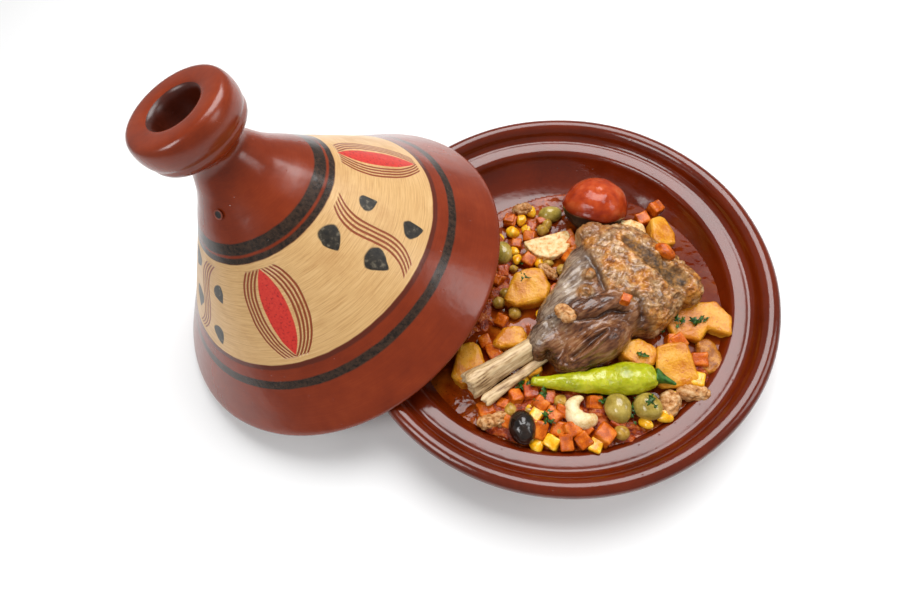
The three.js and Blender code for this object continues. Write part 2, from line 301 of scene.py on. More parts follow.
def close(tree, colour, roughness, bump=None, **sockets):
    """Ends a material in one Principled shader."""
    inputs = {"Base Color": colour, "Roughness": roughness}
    inputs.update({key.replace("_", " "): value for key, value in sockets.items()})
    if bump is not None:
        inputs["Normal"] = bump
    shader = add(tree, "ShaderNodeBsdfPrincipled", inputs)
    add(tree, "ShaderNodeOutputMaterial", {"Surface": shader.outputs[0]})


def place_of(tree):
    """The object's own coordinates, in metres."""
    return add(tree, "ShaderNodeTexCoord").outputs["Object"]


def speckle(tree, vector, size_mm, detail=3.0, rough=0.55):
    """Noise whose lumps are about this size."""
    inputs = {"Vector": vector, "Scale": per(size_mm), "Detail": detail, "Roughness": rough}
    return add(tree, "ShaderNodeTexNoise", inputs).outputs["Fac"]


def along_grain(tree, place, degrees, stretch):
    """Coordinates drawn out along one direction in plan, for fibres."""
    turned = add(tree, "ShaderNodeMapping", {"Vector": place, "Rotation": (0, 0, -math.radians(degrees))})
    drawn = {"Vector": turned.outputs[0], "Scale": (1 / stretch, 1, 1)}
    return add(tree, "ShaderNodeMapping", drawn).outputs[0]


def painted(tree, name):
    """How strongly a vertex layer is painted."""
    return add(tree, "ShaderNodeAttribute", attribute_name=name).outputs["Fac"]


def pinholes(tree, place, spacing_mm, edge):
    """0 in scattered pinholes, 1 between them."""
    inputs = {"Vector": place, "Scale": per(spacing_mm)}
    cells = add(tree, "ShaderNodeTexVoronoi", inputs).outputs["Distance"]
    return ramp(tree, cells, [(0.03, 0.0), (edge, 1.0)])


def ramp(tree, factor, stops):
    """Colours or greys along a factor: (position, hex) or (position, number) stops."""
    node = add(tree, "ShaderNodeValToRGB", {"Fac": factor})
    elements = node.color_ramp.elements
    while len(elements) < len(stops):
        elements.new(0.5)
    for element, (position, value) in zip(elements, stops):
        element.position = position
        if isinstance(value, float):
            value = (value, value, value, 1)
        element.color = linear(value) if isinstance(value, int) else value
    return node.outputs["Color"]


def mix(tree, factor, a, b):
    """One colour laid over another by a factor."""
    a, b = (linear(value) if isinstance(value, int) else value for value in (a, b))
    return add(tree, "ShaderNodeMix", {0: factor, 6: a, 7: b}, data_type="RGBA").outputs[2]


def maths(tree, operation, a, b=0.0, clamp=False):
    """One sum on numbers or sockets."""
    node = add(tree, "ShaderNodeMath", {0: a, 1: b}, operation=operation, use_clamp=clamp)
    return node.outputs[0]


def scaled(tree, value, share):
    return maths(tree, "MULTIPLY", value, share)


def plus(tree, base, extra, share):
    """A value plus a share of another."""
    return maths(tree, "ADD", base, scaled(tree, extra, share))


def less(tree, base, extra, share):
    """A value less a share of another."""
    return maths(tree, "SUBTRACT", base, scaled(tree, extra, share))


def blended(tree, a, share_a, b, share_b):
    """The sum of a share of each of two values."""
    return plus(tree, scaled(tree, a, share_a), b, share_b)


def bumped(tree, height, depth_mm, strength=1.0):
    """Relief of a height in millimetres."""
    inputs = {"Height": height, "Distance": depth_mm * MM, "Strength": strength}
    return add(tree, "ShaderNodeBump", inputs).outputs[0]


def wet_food(name, stops, size_mm, roughness, relief_mm, ior=1.35, **sockets):
    """A boiled food: colour mottled at one size, with a thin wet film over a soft inside."""
    material, tree = new_material(name)
    place = place_of(tree)
    broad = speckle(tree, place, size_mm)
    fine = speckle(tree, place, size_mm / 6)
    height = plus(tree, broad, fine, 0.35)
    colour = ramp(tree, scaled(tree, height, 0.74), stops)
    rough = maths(tree, "ADD", scaled(tree, fine, 0.16), roughness - 0.08)
    close(tree, colour, rough, bumped(tree, height, relief_mm), IOR=ior, **sockets)
    return material


# ---- Pottery ----

# The lid's outside cone, as radius and height, and the heights of its painted bands, in millimetres.
CONE_LOW = (96.9, 41.3)
CONE_HIGH = (50.7, 92.6)
TAPER = (CONE_LOW[0] - CONE_HIGH[0]) / (CONE_HIGH[1] - CONE_LOW[1])
CONE_FOOT = CONE_LOW[0] + CONE_LOW[1] * TAPER
SLANT = math.hypot(1, TAPER)
LID_HEIGHT = 171
BANDS = {
    "cream_low": 41.0, "cream_high": 91.4, "brown_low": 38.6, "black_low": 28.6,
    "black_high": 32.8, "line_low": 94.4, "line_high": 95.7, "collar_high": 101.4,
}
PATTERN_HEIGHT = 66.5
# Where each motif stands round the lid, in degrees.
ALMONDS = (-76.0, 36.0, 149.0)
WAVES = (-128.0, -14.5, 92.5)
# The four dabs beside each wave: degrees from it, height, lean and size.
DABS = (
    (14.5, 73.5, 35, 0.78), (11.0, 49.5, 25, 0.88), (-14.5, 81.0, -25, 1.06), (-9.8, 58.5, 0, 1.1),
)


def glazed(name, base, dark, roughness=0.14):
    """Lead-free glaze over red clay, dipped and fired: glassy, a little mottled, with pinholes."""
    material, tree = new_material(name)
    place = place_of(tree)
    broad = speckle(tree, place, 38, 4)
    fine = speckle(tree, place, 3.2, 4)
    tone = blended(tree, broad, 0.75, fine, 0.25)
    colour = ramp(tree, tone, [(0.28, dark), (0.60, base)])
    height = blended(tree, speckle(tree, place, 9, 2), 0.6, pinholes(tree, place, 7, 0.09), 0.5)
    rough = maths(tree, "ADD", scaled(tree, fine, 0.14), roughness - 0.06)
    close(tree, colour, rough, bumped(tree, height, 0.35, 0.7), IOR=1.52)
    return material


def wrapped(tree, angle, centre):
    """Degrees from a centre line, between -180 and 180."""
    turn = maths(tree, "ADD", angle, 540 - centre)
    return maths(tree, "SUBTRACT", maths(tree, "MODULO", turn, 360), 180)


def within(tree, value, low, high, soft):
    """1 between two limits, falling to 0 over a soft edge."""
    rise = add(tree, "ShaderNodeMapRange", {0: value, 1: low - soft, 2: low + soft}).outputs[0]
    fall = add(tree, "ShaderNodeMapRange", {0: value, 1: high - soft, 2: high + soft}).outputs[0]
    return maths(tree, "SUBTRACT", rise, fall, clamp=True)


def largest(tree, masks):
    """All the masks together."""
    total = masks[0]
    for mask in masks[1:]:
        total = maths(tree, "MAXIMUM", total, mask)
    return total


def scored(tree, distance, first, pitch, count, width):
    """Lines scratched side by side: a mask of `count` of them from the first, in millimetres."""
    lines = [within(tree, distance, at - width, at + width, 0.22)
             for at in (first + pitch * i for i in range(count))]
    return largest(tree, lines)


class LidPattern:
    """Masks for the painted pattern, on the lid's own map of angle round it and height up its axis."""

    def __init__(self, tree, place):
        self.tree = tree
        uv = add(tree, "ShaderNodeUVMap", uv_map="lid_map").outputs[0]
        turn, rise, _ = add(tree, "ShaderNodeSeparateXYZ", {0: uv}).outputs
        self.unsteady = maths(tree, "SUBTRACT", speckle(tree, place, 16, 2), 0.5)
        self.angle = scaled(tree, turn, 360)
        self.height = plus(tree, scaled(tree, rise, LID_HEIGHT), self.unsteady, 0.9)
        self.radius = less(tree, CONE_FOOT, self.height, TAPER)
        self.up = scaled(tree, maths(tree, "SUBTRACT", self.height, PATTERN_HEIGHT), SLANT)
        self.inside_band = within(tree, self.up, -30.5, 28.5, 0.6)

    def across(self, centre):
        """Millimetres round the lid from a motif's centre line."""
        arc = scaled(self.tree, wrapped(self.tree, self.angle, centre), math.radians(1))
        return plus(self.tree, maths(self.tree, "MULTIPLY", arc, self.radius), self.unsteady, 1.3)

    def band(self, low, high, soft=0.35):
        return within(self.tree, self.height, BANDS[low], BANDS[high], soft)

    def scratched(self, distance, first, pitch):
        """Four lines scored side by side, as long as the cream band is wide."""
        lines = scored(self.tree, distance, first, pitch, 4, 0.72)
        return maths(self.tree, "MULTIPLY", lines, self.inside_band)

    def almonds(self):
        """The red almonds, and the lines scored round them."""
        tree = self.tree
        reach = maths(tree, "ABSOLUTE", maths(tree, "DIVIDE", self.up, 29.0))
        belly = maths(tree, "SUBTRACT", 1, maths(tree, "POWER", reach, 2.5))
        sides = [maths(tree, "ABSOLUTE", self.across(centre)) for centre in ALMONDS]
        reds = [within(tree, less(tree, side, belly, 8.2), -20, 0, 0.3) for side in sides]
        lines = [self.scratched(less(tree, side, belly, 10.2), 1.2, 2.6) for side in sides]
        return largest(tree, reds), lines

    def waves(self):
        """The lines of the waves."""
        tree = self.tree
        reach = maths(tree, "DIVIDE", self.up, 30.0)
        cube = maths(tree, "POWER", maths(tree, "ABSOLUTE", reach), 3)
        cubic = maths(tree, "MULTIPLY", scaled(tree, cube, 12.5), maths(tree, "SIGN", reach))
        swing = less(tree, cubic, reach, 3.2)
        return [self.scratched(maths(tree, "SUBTRACT", self.across(centre), swing), -4.5, 3.0)
                for centre in WAVES]

    def dab(self, centre, level, lean, size):
        """One leaf-shaped touch of a loaded brush."""
        tree = self.tree
        cos, sin = math.cos(math.radians(lean)) / size, math.sin(math.radians(lean)) / size
        x = self.across(centre)
        y = maths(tree, "SUBTRACT", self.up, (level - PATTERN_HEIGHT) * SLANT)
        aside = blended(tree, x, cos, y, sin)
        along = blended(tree, y, cos, x, -sin)
        half_width = maths(tree, "MAXIMUM", maths(tree, "ADD", scaled(tree, along, 0.42), 6.0), 0.3)
        wide = plus(tree, maths(tree, "DIVIDE", aside, half_width), self.unsteady, 0.9)
        far = maths(tree, "DIVIDE", along, 7.8)
        spread = maths(tree, "ADD", maths(tree, "MULTIPLY", wide, wide), maths(tree, "MULTIPLY", far, far))
        return within(tree, spread, -1, 1, 0.12)

    def dabs(self):
        """All the dark dabs beside the waves."""
        return largest(self.tree, [
            self.dab(centre + turn, level, lean, size)
            for centre in WAVES for turn, level, lean, size in DABS
        ])


def painted_lid():
    """Cream slip brushed over red clay, scored through to the clay, with iron-black bands."""
    material, tree = new_material("painted_slip_glaze")
    place = place_of(tree)
    pattern = LidPattern(tree, place)
    red, lines = pattern.almonds()
    line = largest(tree, lines + pattern.waves())
    cream_zone = pattern.band("cream_low", "cream_high", 0.3)

    brushed_round = add(tree, "ShaderNodeCombineXYZ", {
        0: scaled(tree, pattern.angle, 0.06), 1: scaled(tree, pattern.height, 1.5),
    })
    streaks = add(tree, "ShaderNodeTexNoise", {
        "Vector": brushed_round.outputs[0], "Scale": 1.1, "Detail": 4.0, "Roughness": 0.65,
    }).outputs["Fac"]
    wear = speckle(tree, place, 26, 5, 0.62)
    cream = ramp(tree, streaks, [(0.30, 0xB58852), (0.44, 0xC99E66), (0.56, 0xD3AA72), (0.72, 0xDAB680)])
    cream = mix(tree, ramp(tree, wear, [(0.52, 0.0), (0.72, 0.65)]), cream, 0xB98A52)
    clay = ramp(tree, blended(tree, wear, 0.7, streaks, 0.3),
                [(0.30, 0x6C2206), (0.55, 0x7F2B07), (0.76, 0x8E360E)])
    black = ramp(tree, speckle(tree, place, 2.4, 4), [(0.35, 0x1E140D), (0.66, 0x3E2C20)])
    spots = ramp(tree, speckle(tree, place, 1.6, 2), [(0.3, 0x8E1512), (0.42, 0xC4261C), (0.7, 0xCF3524)])
    brushed = ramp(tree, speckle(tree, place, 3.0, 4), [(0.36, 0x14100B), (0.56, 0x2C261D), (0.74, 0x6A6252)])

    colour = mix(tree, cream_zone, clay, cream)
    colour = mix(tree, pattern.band("brown_low", "cream_low"), colour, 0x57200F)
    dark_bands = (("black_low", "black_high"), ("cream_high", "line_low"), ("line_high", "collar_high"))
    colour = mix(tree, largest(tree, [pattern.band(*limits) for limits in dark_bands]), colour, black)
    scratch = maths(tree, "MULTIPLY", line, cream_zone)
    colour = mix(tree, scratch, colour, 0x8A3A10)
    colour = mix(tree, maths(tree, "MULTIPLY", red, cream_zone), colour, spots)
    colour = mix(tree, maths(tree, "MULTIPLY", pattern.dabs(), cream_zone), colour, brushed)

    relief = blended(tree, speckle(tree, place, 10, 2), 0.6, pinholes(tree, place, 9, 0.08), 0.35)
    rough = maths(tree, "ADD", blended(tree, cream_zone, 0.13, wear, 0.26), 0.09)
    close(tree, colour, rough, bumped(tree, less(tree, relief, scratch, 1.4), 0.4, 0.8), IOR=1.52)
    return material


def thrown(bm, amount, seed):
    """The slight unevenness of a pot thrown by hand."""
    shift = Vector((seed, seed * 2, seed * 3))
    for v in bm.verts:
        out = Vector((v.co.x, v.co.y, 0))
        if out.length > 1 * MM:
            n = noise.noise(v.co / 0.07 + shift)
            v.co += out.normalized() * (n * amount)


# The dish's inside wall, as radius and height in millimetres.
DISH_WALL = ((64, 6), (80, 6.6), (94, 8.6), (106, 12.9), (114.6, 19.4), (119.6, 26.2), (121.5, 30.5))


def wall_radius(height):
    """The inside radius of the dish at a height."""
    for (r0, z0), (r1, z1) in zip(DISH_WALL, DISH_WALL[1:]):
        if height <= z1 * MM:
            return (r0 + (r1 - r0) * max(0, height / MM - z0) / (z1 - z0)) * MM
    return DISH_WALL[-1][0] * MM


class DishSettings(bpy.types.PropertyGroup):
    glaze: bpy.props.FloatVectorProperty(
        name="Glaze", description="Colour of the dish's glaze", subtype="COLOR", size=4,
        min=0, max=1, default=linear(0x681F03),
    )
    steps: bpy.props.IntProperty(
        name="Steps", description="Facets round the dish", default=160, min=24,
    )


class TAGINE_OT_dish(bpy.types.Operator):
    """Makes the round dish with its rolled lip and the ledge that seats the lid"""

    bl_idname = "tagine.dish"
    bl_label = "Dish"

    def execute(self, context):
        settings = context.scene.tagine_dish
        outside = [(0, 0), (91, 0), (94.5, 1.3), (112, 10.5), (133, 25), (141, 31.8), (146.5, 34.3)]
        lip = [(149.4, 36.6), (150, 39.6), (148.8, 43), (144.4, 45.2), (140.2, 43.9), (137.6, 40.4)]
        ledge = [(136.2, 36), (133.4, 33.4), (130.8, 33.6), (127, 33.3), (123.6, 32.7), (121.5, 30.5)]
        wall = [*reversed(DISH_WALL[:-1]), (0, 6)]
        profile = rounded(in_mm(outside + lip + ledge + wall), 4 * MM, longest=3.5 * MM)
        bm = spun(profile, settings.steps, closed=False)
        thrown(bm, 0.5 * MM, 3)
        glaze = glazed("red_brown_glaze", settings.glaze, 0x521704)
        piece("dish_pot", bm, [glaze], ["dish"])
        return {"FINISHED"}


# The lid's profile as radius and height in millimetres: foot, cone, neck, knob and the knob's cup.
LID_LEAN = math.radians(13.1)
LID_FOOT = (129.5, 0)
LID_RIM = (133.7, 2.6)
LID_OUTSIDE = [
    (127, 0), LID_FOOT, (132.4, 0.7), LID_RIM, (132.6, 5), CONE_LOW, CONE_HIGH,
    (41.2, 104), (34, 112), (27.6, 120), (22.8, 128), (19, 135), (19.4, 141),
    (25.6, 143.6), (30, 146.2), (32, 149.6), (31.7, 152.2), (33, 154.4), (33.6, 159.6),
    (32.6, 165.2), (30.2, 168.2), (25.2, 168.8), (18, 168.2), (15.4, 165.6), (14.4, 156),
    (10.6, 147), (0, 146),
]
LID_INSIDE = [(0, 133), (9, 130), (18.6, 116), (41, 92), (87.4, 40.4), (123.4, 3)]
HOLLOW_TOP = 133
CUP_FLOOR = 144
CUP_RADIUS = 17.5


def lid_matrix():
    """The lid's place: leaning over from -X, its foot on the table on the far side."""
    low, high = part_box("lid")
    lean = Matrix.Rotation(-LID_LEAN, 4, "Y")
    foot = LID_FOOT[0] * MM * math.sin(LID_LEAN)
    rim = Vector((-LID_RIM[0], 0, LID_RIM[1])) * MM
    shift = low.x - (lean @ rim).x
    return Matrix.Translation((shift, (low.y + high.y) / 2, foot)) @ lean


def mapped_round(mesh, height):
    """A UV map of the angle round Z, in turns from 0 to 1, and the share of the height."""
    layer = mesh.uv_layers.new(name="lid_map")
    for face in mesh.polygons:
        middle = math.atan2(face.center.y, face.center.x) / math.tau
        for loop in face.loop_indices:
            at = mesh.vertices[mesh.loops[loop].vertex_index].co
            turn = math.atan2(at.y, at.x) / math.tau
            turn += round(middle - turn)
            layer.data[loop].uv = (turn + 1, at.z / height)


class LidSettings(bpy.types.PropertyGroup):
    steps: bpy.props.IntProperty(
        name="Steps", description="Facets round the lid", default=176, min=24,
    )
    vent: bpy.props.FloatProperty(
        name="Vent", description="Radius of the steam hole", default=2.1 * MM, unit="LENGTH",
        subtype="DISTANCE",
    )


class TAGINE_OT_lid(bpy.types.Operator):
    """Makes the hollow conical lid with its knob, vent and painted band"""

    bl_idname = "tagine.lid"
    bl_label = "Lid"

    def execute(self, context):
        settings = context.scene.tagine_lid
        outer = rounded(in_mm(LID_OUTSIDE), 3.5 * MM, longest=3 * MM)
        inner = rounded(in_mm([*LID_INSIDE, LID_OUTSIDE[0]]), 6 * MM, 3, 6 * MM)
        bm = spun([*outer, *inner[:-1]], settings.steps)
        for face in bm.faces:
            face.material_index = self.finish_of(face)
        thrown(bm, 0.35 * MM, 5)
        mesh = meshed(bm, "lid_shape")
        mapped_round(mesh, LID_HEIGHT * MM)
        bm = bmesh.new()
        bm.from_mesh(mesh)
        bpy.data.meshes.remove(mesh)
        moved(bm, lid_matrix())
        plain = glazed("bare_red_clay", 0x8A3A1E, 0x5E2410, 0.5)
        # Painted shade: a near-black glaze for the inside of the knob's deep cup, where shade falls.
        shaded_cup = glazed("sooty_glaze", 0x4A1606, 0x2A0C04, 0.3)
        piece("lid_shell", bm, [painted_lid(), plain, shaded_cup], ["lid"])
        self.vent(settings.vent, plain)
        return {"FINISHED"}

    def finish_of(self, face):
        """0 for glazed and painted, 1 for bare clay in the hollow, 2 for the knob's deep cup, painted dark as
        shade.
        """
        middle = face.calc_center_median()
        reach = Vector((middle.x, middle.y, 0))
        if face.normal.dot(reach) >= 0:
            return 0
        # The cup's inside takes the painted shade.
        if middle.z > CUP_FLOOR * MM and reach.length < CUP_RADIUS * MM:
            return 2
        return 1 if middle.z < HOLLOW_TOP * MM and abs(face.normal.z) < 0.82 else 0

    def vent(self, radius, material):
        """The steam hole: a low rim of clay round a dark middle, on the neck's slope. The middle is painted
        shade, a near-black disc in place of the open hole.
        """
        azimuth, wall, height, sunk = math.radians(-94), 32.6 * MM, 116.2 * MM, 0.9 * MM
        points = [(0, -7), (1, -7), (1, -0.6), (1.5, 0.2), (1.45, 0.6), (1.2, 0.62), (1.05, 0.44), (0, 0.4)]
        bm = spun([(r * radius, z * MM) for r, z in points], 24, closed=False)
        # Painted shade: the middle's top faces take the near-black material in place of the hole's shadowed
        # inside.
        for face in bm.faces:
            middle = face.calc_center_median()
            if middle.z > 0.3 * MM and math.hypot(middle.x, middle.y) < 1.1 * radius:
                face.material_index = 1
        out = Vector((math.cos(azimuth), math.sin(azimuth), 0))
        normal = (out + UP * 0.8).normalized()
        turn = UP.rotation_difference(normal).to_matrix().to_4x4()
        at = out * wall + UP * height - normal * sunk
        moved(bm, lid_matrix() @ Matrix.Translation(at) @ turn)
        dark = glazed("dark_hole", 0x160805, 0x0C0403, 0.6)
        piece("lid_vent", bm, [material, dark])


# ---- Sauce ----


def sauce_material():
    """Tomato and paprika broth: glossy, with orange eyes, thin on the glaze."""
    material, tree = new_material("paprika_broth")
    place = place_of(tree)
    broad = speckle(tree, place, 22, 4)
    bits = speckle(tree, place, 1.8, 3)
    colour = ramp(tree, broad, [(0.35, 0x601A03), (0.5, 0x883407), (0.66, 0xAC5612)])
    eyes = add(tree, "ShaderNodeTexVoronoi", {"Vector": place, "Scale": per(5.5)}).outputs["Distance"]
    fat = ramp(tree, eyes, [(0.10, 0.5), (0.26, 0.0)])
    colour = mix(tree, fat, colour, 0xC4580F)
    colour = mix(tree, ramp(tree, bits, [(0.60, 0.0), (0.72, 0.7)]), colour, 0x2E0A03)
    film = painted(tree, "film")
    colour = mix(tree, scaled(tree, film, 0.8), colour, 0x621C04)
    height = plus(tree, speckle(tree, place, 11, 1), speckle(tree, place, 3.4, 2), 0.12)
    ruffled = maths(tree, "SUBTRACT", 1, painted(tree, "calm"))
    close(tree, colour, 0.06, bumped(tree, height, 2.2, ruffled), IOR=1.40,
          Specular_IOR_Level=less(tree, 0.5, film, 0.42))
    return material


# Where the sauce lies open and smooth: plan place and radius, in millimetres.
CALM_POOLS = ((-12, -14, 19), (69, -34, 13), (-24, -30, 12))
# Where only a thin film of it lies on the glaze.
THIN_FILMS = ((88, 34, 38), (102, 6, 30), (98, -24, 20), (60, 80, 34))


def pooled(x, y, pools):
    """1 inside the pools and 0 outside, at a place in metres."""
    return max(bell(math.hypot(x / MM - px, y / MM - py), radius, 4) for px, py, radius in pools)


class SauceSettings(bpy.types.PropertyGroup):
    grid: bpy.props.FloatProperty(
        name="Grid", description="Distance between the surface's points", default=1.5 * MM,
        unit="LENGTH", subtype="DISTANCE",
    )


class TAGINE_OT_sauce(bpy.types.Operator):
    """Makes the broth's uneven surface, drawn up a little along the dish"""

    bl_idname = "tagine.sauce"
    bl_label = "Sauce"

    def execute(self, context):
        settings = context.scene.tagine_sauce
        half = 124 * MM
        count = round(2 * half / settings.grid)
        bm = bmesh.new()
        bmesh.ops.create_grid(bm, x_segments=count, y_segments=count, size=half)
        outside = []
        calm = bm.verts.layers.float.new("calm")
        film = bm.verts.layers.float.new("film")
        for v in bm.verts:
            x, y = v.co.x, v.co.y
            level = stew_height(x, y)
            v[calm] = 0.92 * pooled(x, y, CALM_POOLS)
            v[film] = pooled(x, y, THIN_FILMS)
            swell = noise.fractal(Vector((x, y, 0)) / (16 * MM), 1.0, 2.0, 3) * 0.9 * MM
            gap = wall_radius(level) - math.hypot(x, y)
            climb = 0.5 * MM * math.exp(-max(gap, 0) / (2.2 * MM))
            v.co.z = level + swell * min(1, max(gap, 0) / (8 * MM)) + climb
            if gap < -2.5 * MM:
                outside.append(v)
        bmesh.ops.delete(bm, geom=outside, context="VERTS")
        bmesh.ops.recalc_face_normals(bm, faces=bm.faces)
        bottom = bmesh.ops.extrude_face_region(bm, geom=bm.faces[:], use_keep_orig=True)["geom"]
        for g in bottom:
            if isinstance(g, bmesh.types.BMVert):
                g.co.z -= 3 * MM
        bmesh.ops.recalc_face_normals(bm, faces=bm.faces)
        piece("broth", bm, [sauce_material()], ["sauce"])
        return {"FINISHED"}


# ---- Lamb shank ----

SHANK_TURN = 48.6
# Each lump: half sizes, middle, turn about Z and squareness, in millimetres and degrees.
MEAT_LUMPS = (
    ((37, 42, 23), (50, 5, 31), SHANK_TURN, 2.8),
    ((41, 29, 21), (27, -23, 33), SHANK_TURN, 2.3),
    ((27, 16, 17), (31, -46, 36), 38, 2.2),
    ((22, 13, 15), (24, -54, 33), 30, 2.2),
    ((14, 15, 16), (0, -50, 34), 40, 2.2),
    ((11, 9, 13), (-3, -44, 38), 60, 2.0),
    ((12, 10, 12), (26, 37, 35), 30, 2.2),
    ((30, 9, 14), (14, -3, 39), 64, 2.2),
    ((21, 8, 8), (30, -26, 50), 20, 2.2),
    ((12, 18, 13), (85, 4, 36), 40, 2.4),
    ((18, 9, 8), (60, 19, 47), -35, 2.2),
    ((5.5, 4.6, 6), (25, -3, 50), 20, 2.0),
    ((6.5, 4.6, 6), (22, -17, 50), 30, 2.0),
)
# Where soft fat bulges out beside the muscle.
FAT_BULGES = ((25, -3), (22, -17))
CREASES = (
    (((14, -39), (31, -35), (46, -28), (53, -27)), 0.8, 2.4),
    (((15, -31), (22, -23), (31, -17)), 1.0, 1.6),
    (((23, 14), (28, 3), (33, -8), (36, -16)), 2.2, 2.2),
    (((57, -37), (60, -29), (58, -19), (50, -15)), 2.4, 2.0),
    (((-9, -40), (-2, -36), (6, -34)), 1.5, 1.8),
)
SLIT = ((17, -62), (24, -56), (31, -48.5), (37, -43))
TROUGH = ((50, 27), (58, 20), (67, 11), (75, 6), (83, 2))
KNUCKLE_HOLE = (0.5, -63)
FAT_EDGE = ((14, 40), (24, 16), (31, -4), (37, -14), (47, -16), (57, -22), (70, -38))


def line_distance(point, line):
    """The distance in plan from a point to a line of points, and how far along it is, 0 to 1."""
    best, share = 1e9, 0.0
    for i, (a, b) in enumerate(zip(line, line[1:])):
        a, b = Vector(a), Vector(b)
        t = max(0, min(1, (point - a).dot(b - a) / (b - a).length_squared))
        away = (point - a.lerp(b, t)).length
        if away < best:
            best, share = away, (i + t) / (len(line) - 1)
    return best, share


def side_of(point, line):
    """The signed distance in plan from an edge line: above 0 on its left."""
    best, sign = 1e9, 1
    for a, b in zip(line, line[1:]):
        a, b = Vector(a), Vector(b)
        t = max(0, min(1, (point - a).dot(b - a) / (b - a).length_squared))
        away = (point - a.lerp(b, t)).length
        if away < best:
            best = away
            sign = 1 if (b - a).cross(point - a) > 0 else -1
    return best * sign


def squared_ball(half, power):
    """An ellipsoid whose sides grow squarer as the power rises above 2."""
    bm = ball((1, 1, 1), 32, 20)
    for v in bm.verts:
        size = sum(abs(c) ** power for c in v.co) ** (1 / power)
        v.co = Vector(c / size * h * MM for c, h in zip(v.co, half))
    return bm


def merged_lumps(lumps, voxel):
    """One closed skin round all the lumps."""
    bm = bmesh.new()
    for half, middle, turn, power in lumps:
        part = moved(squared_ball(half, power), placed(Vector(middle) * MM, (0, 0, turn)))
        shape = meshed(part, "lump")
        bm.from_mesh(shape)
        bpy.data.meshes.remove(shape)
    rough = bpy.data.objects.new("lumps", meshed(bm, "lumps"))
    bpy.context.scene.collection.objects.link(rough)
    remesh = rough.modifiers.new("skin", "REMESH")
    remesh.mode = "VOXEL"
    remesh.voxel_size = voxel
    depsgraph = bpy.context.evaluated_depsgraph_get()
    skin = bpy.data.meshes.new_from_object(rough.evaluated_get(depsgraph))
    bm = bmesh.new()
    bm.from_mesh(skin)
    bpy.data.meshes.remove(skin)
    bpy.data.objects.remove(rough)
    return relaxed(bm, 0.5, times=5)


def along_shank(co, along, across):
    """A point in lumps stretched along the shank's own direction."""
    turn = math.radians(SHANK_TURN - 6)
    x = co.x * math.cos(turn) + co.y * math.sin(turn)
    y = co.y * math.cos(turn) - co.x * math.sin(turn)
    return Vector((x / along, y / across, co.z / across))


def carved_meat(bm):
    """Carves the seams, the slit and the fatty end, and marks the zones for colours and painted shade."""
    bm.normal_update()
    zones = bm.verts.layers.float_color.new("zones")
    normals = {v: v.normal.copy() for v in bm.verts}
    for v in bm.verts:
        p = Vector((v.co.x, v.co.y)) / MM
        ups = smoothstep(-0.35, 0.35, normals[v].z)
        wander = Vector((noise.noise(v.co / 0.009), noise.noise(v.co / 0.009 + UP * 9))) * 2.2
        q = p + wander
        fat = smoothstep(-2.5, 3.5, side_of(q, FAT_EDGE))
        away, share = line_distance(q, TROUGH)
        for bulge in FAT_BULGES:
            fat = max(fat, math.exp(-(((p - Vector(bulge)).length / 5.5) ** 4)))
        char = 1 - smoothstep(3.6, 8, away * (1.2 - 0.3 * share))
        push = noise.fractal(v.co / 0.019, 1.0, 2.0, 3) * 1.8
        # groove_shade: how far into a seam, the slit or the knuckle hole a point lies, darkened there as
        # painted shade
        groove_shade = 0.0
        for line, width, depth in CREASES:
            away, share = line_distance(p + wander * 0.35, line)
            ends = min(1, 5 * share + 0.15, 5 * (1 - share) + 0.15)
            cut = bell(away, width) * ends
            groove_shade = max(groove_shade, cut)
            push -= depth * cut * ups
        away, share = line_distance(p, SLIT)
        gape = 1.0 * math.sin(math.pi * min(1, 0.12 + share * 0.85)) + 0.5
        slit = math.exp(-((away / gape) ** 2))
        push += (1.5 * math.exp(-(((away - gape * 2.2) / 1.5) ** 2)) - 2.6 * slit) * ups
        groove_shade = max(groove_shade, 0.65 * slit)
        hole = math.exp(-(((p - Vector(KNUCKLE_HOLE)).length / 3.6) ** 2))
        push -= 5.0 * hole
        groove_shade = max(groove_shade, hole)
        push -= 2.6 * char * ups
        shreds = 0.5 - abs(noise.fractal(v.co / 0.0062, 1.0, 2.1, 4))
        crumbs = 0.5 - abs(noise.fractal(v.co / 0.0023, 1.0, 2.0, 2))
        push += fat * (1 - 0.5 * char) * (shreds * 2.6 + crumbs * 0.9)
        strands = noise.fractal(along_shank(v.co, 0.014, 0.0021), 1.0, 2.0, 3)
        push += (1 - fat) * strands * 0.45
        grey = 1 - smoothstep(7, 15, line_distance(q, ((-10, -47), (3, -24), (14, 0), (26, 24)))[0])
        under = 1 - smoothstep(26, 37, v.co.z / MM + 4 * noise.noise(v.co / 0.012))
        grey = max(grey * (1 - 0.75 * fat), under * (1 - fat) * 0.35)
        knob = math.exp(-(((p - Vector((26, 40))).length / 11) ** 2))
        fat *= 1 - 0.75 * knob
        v.co += normals[v] * (push * MM)
        v[zones] = (fat, char, grey, groove_shade)
    return bm


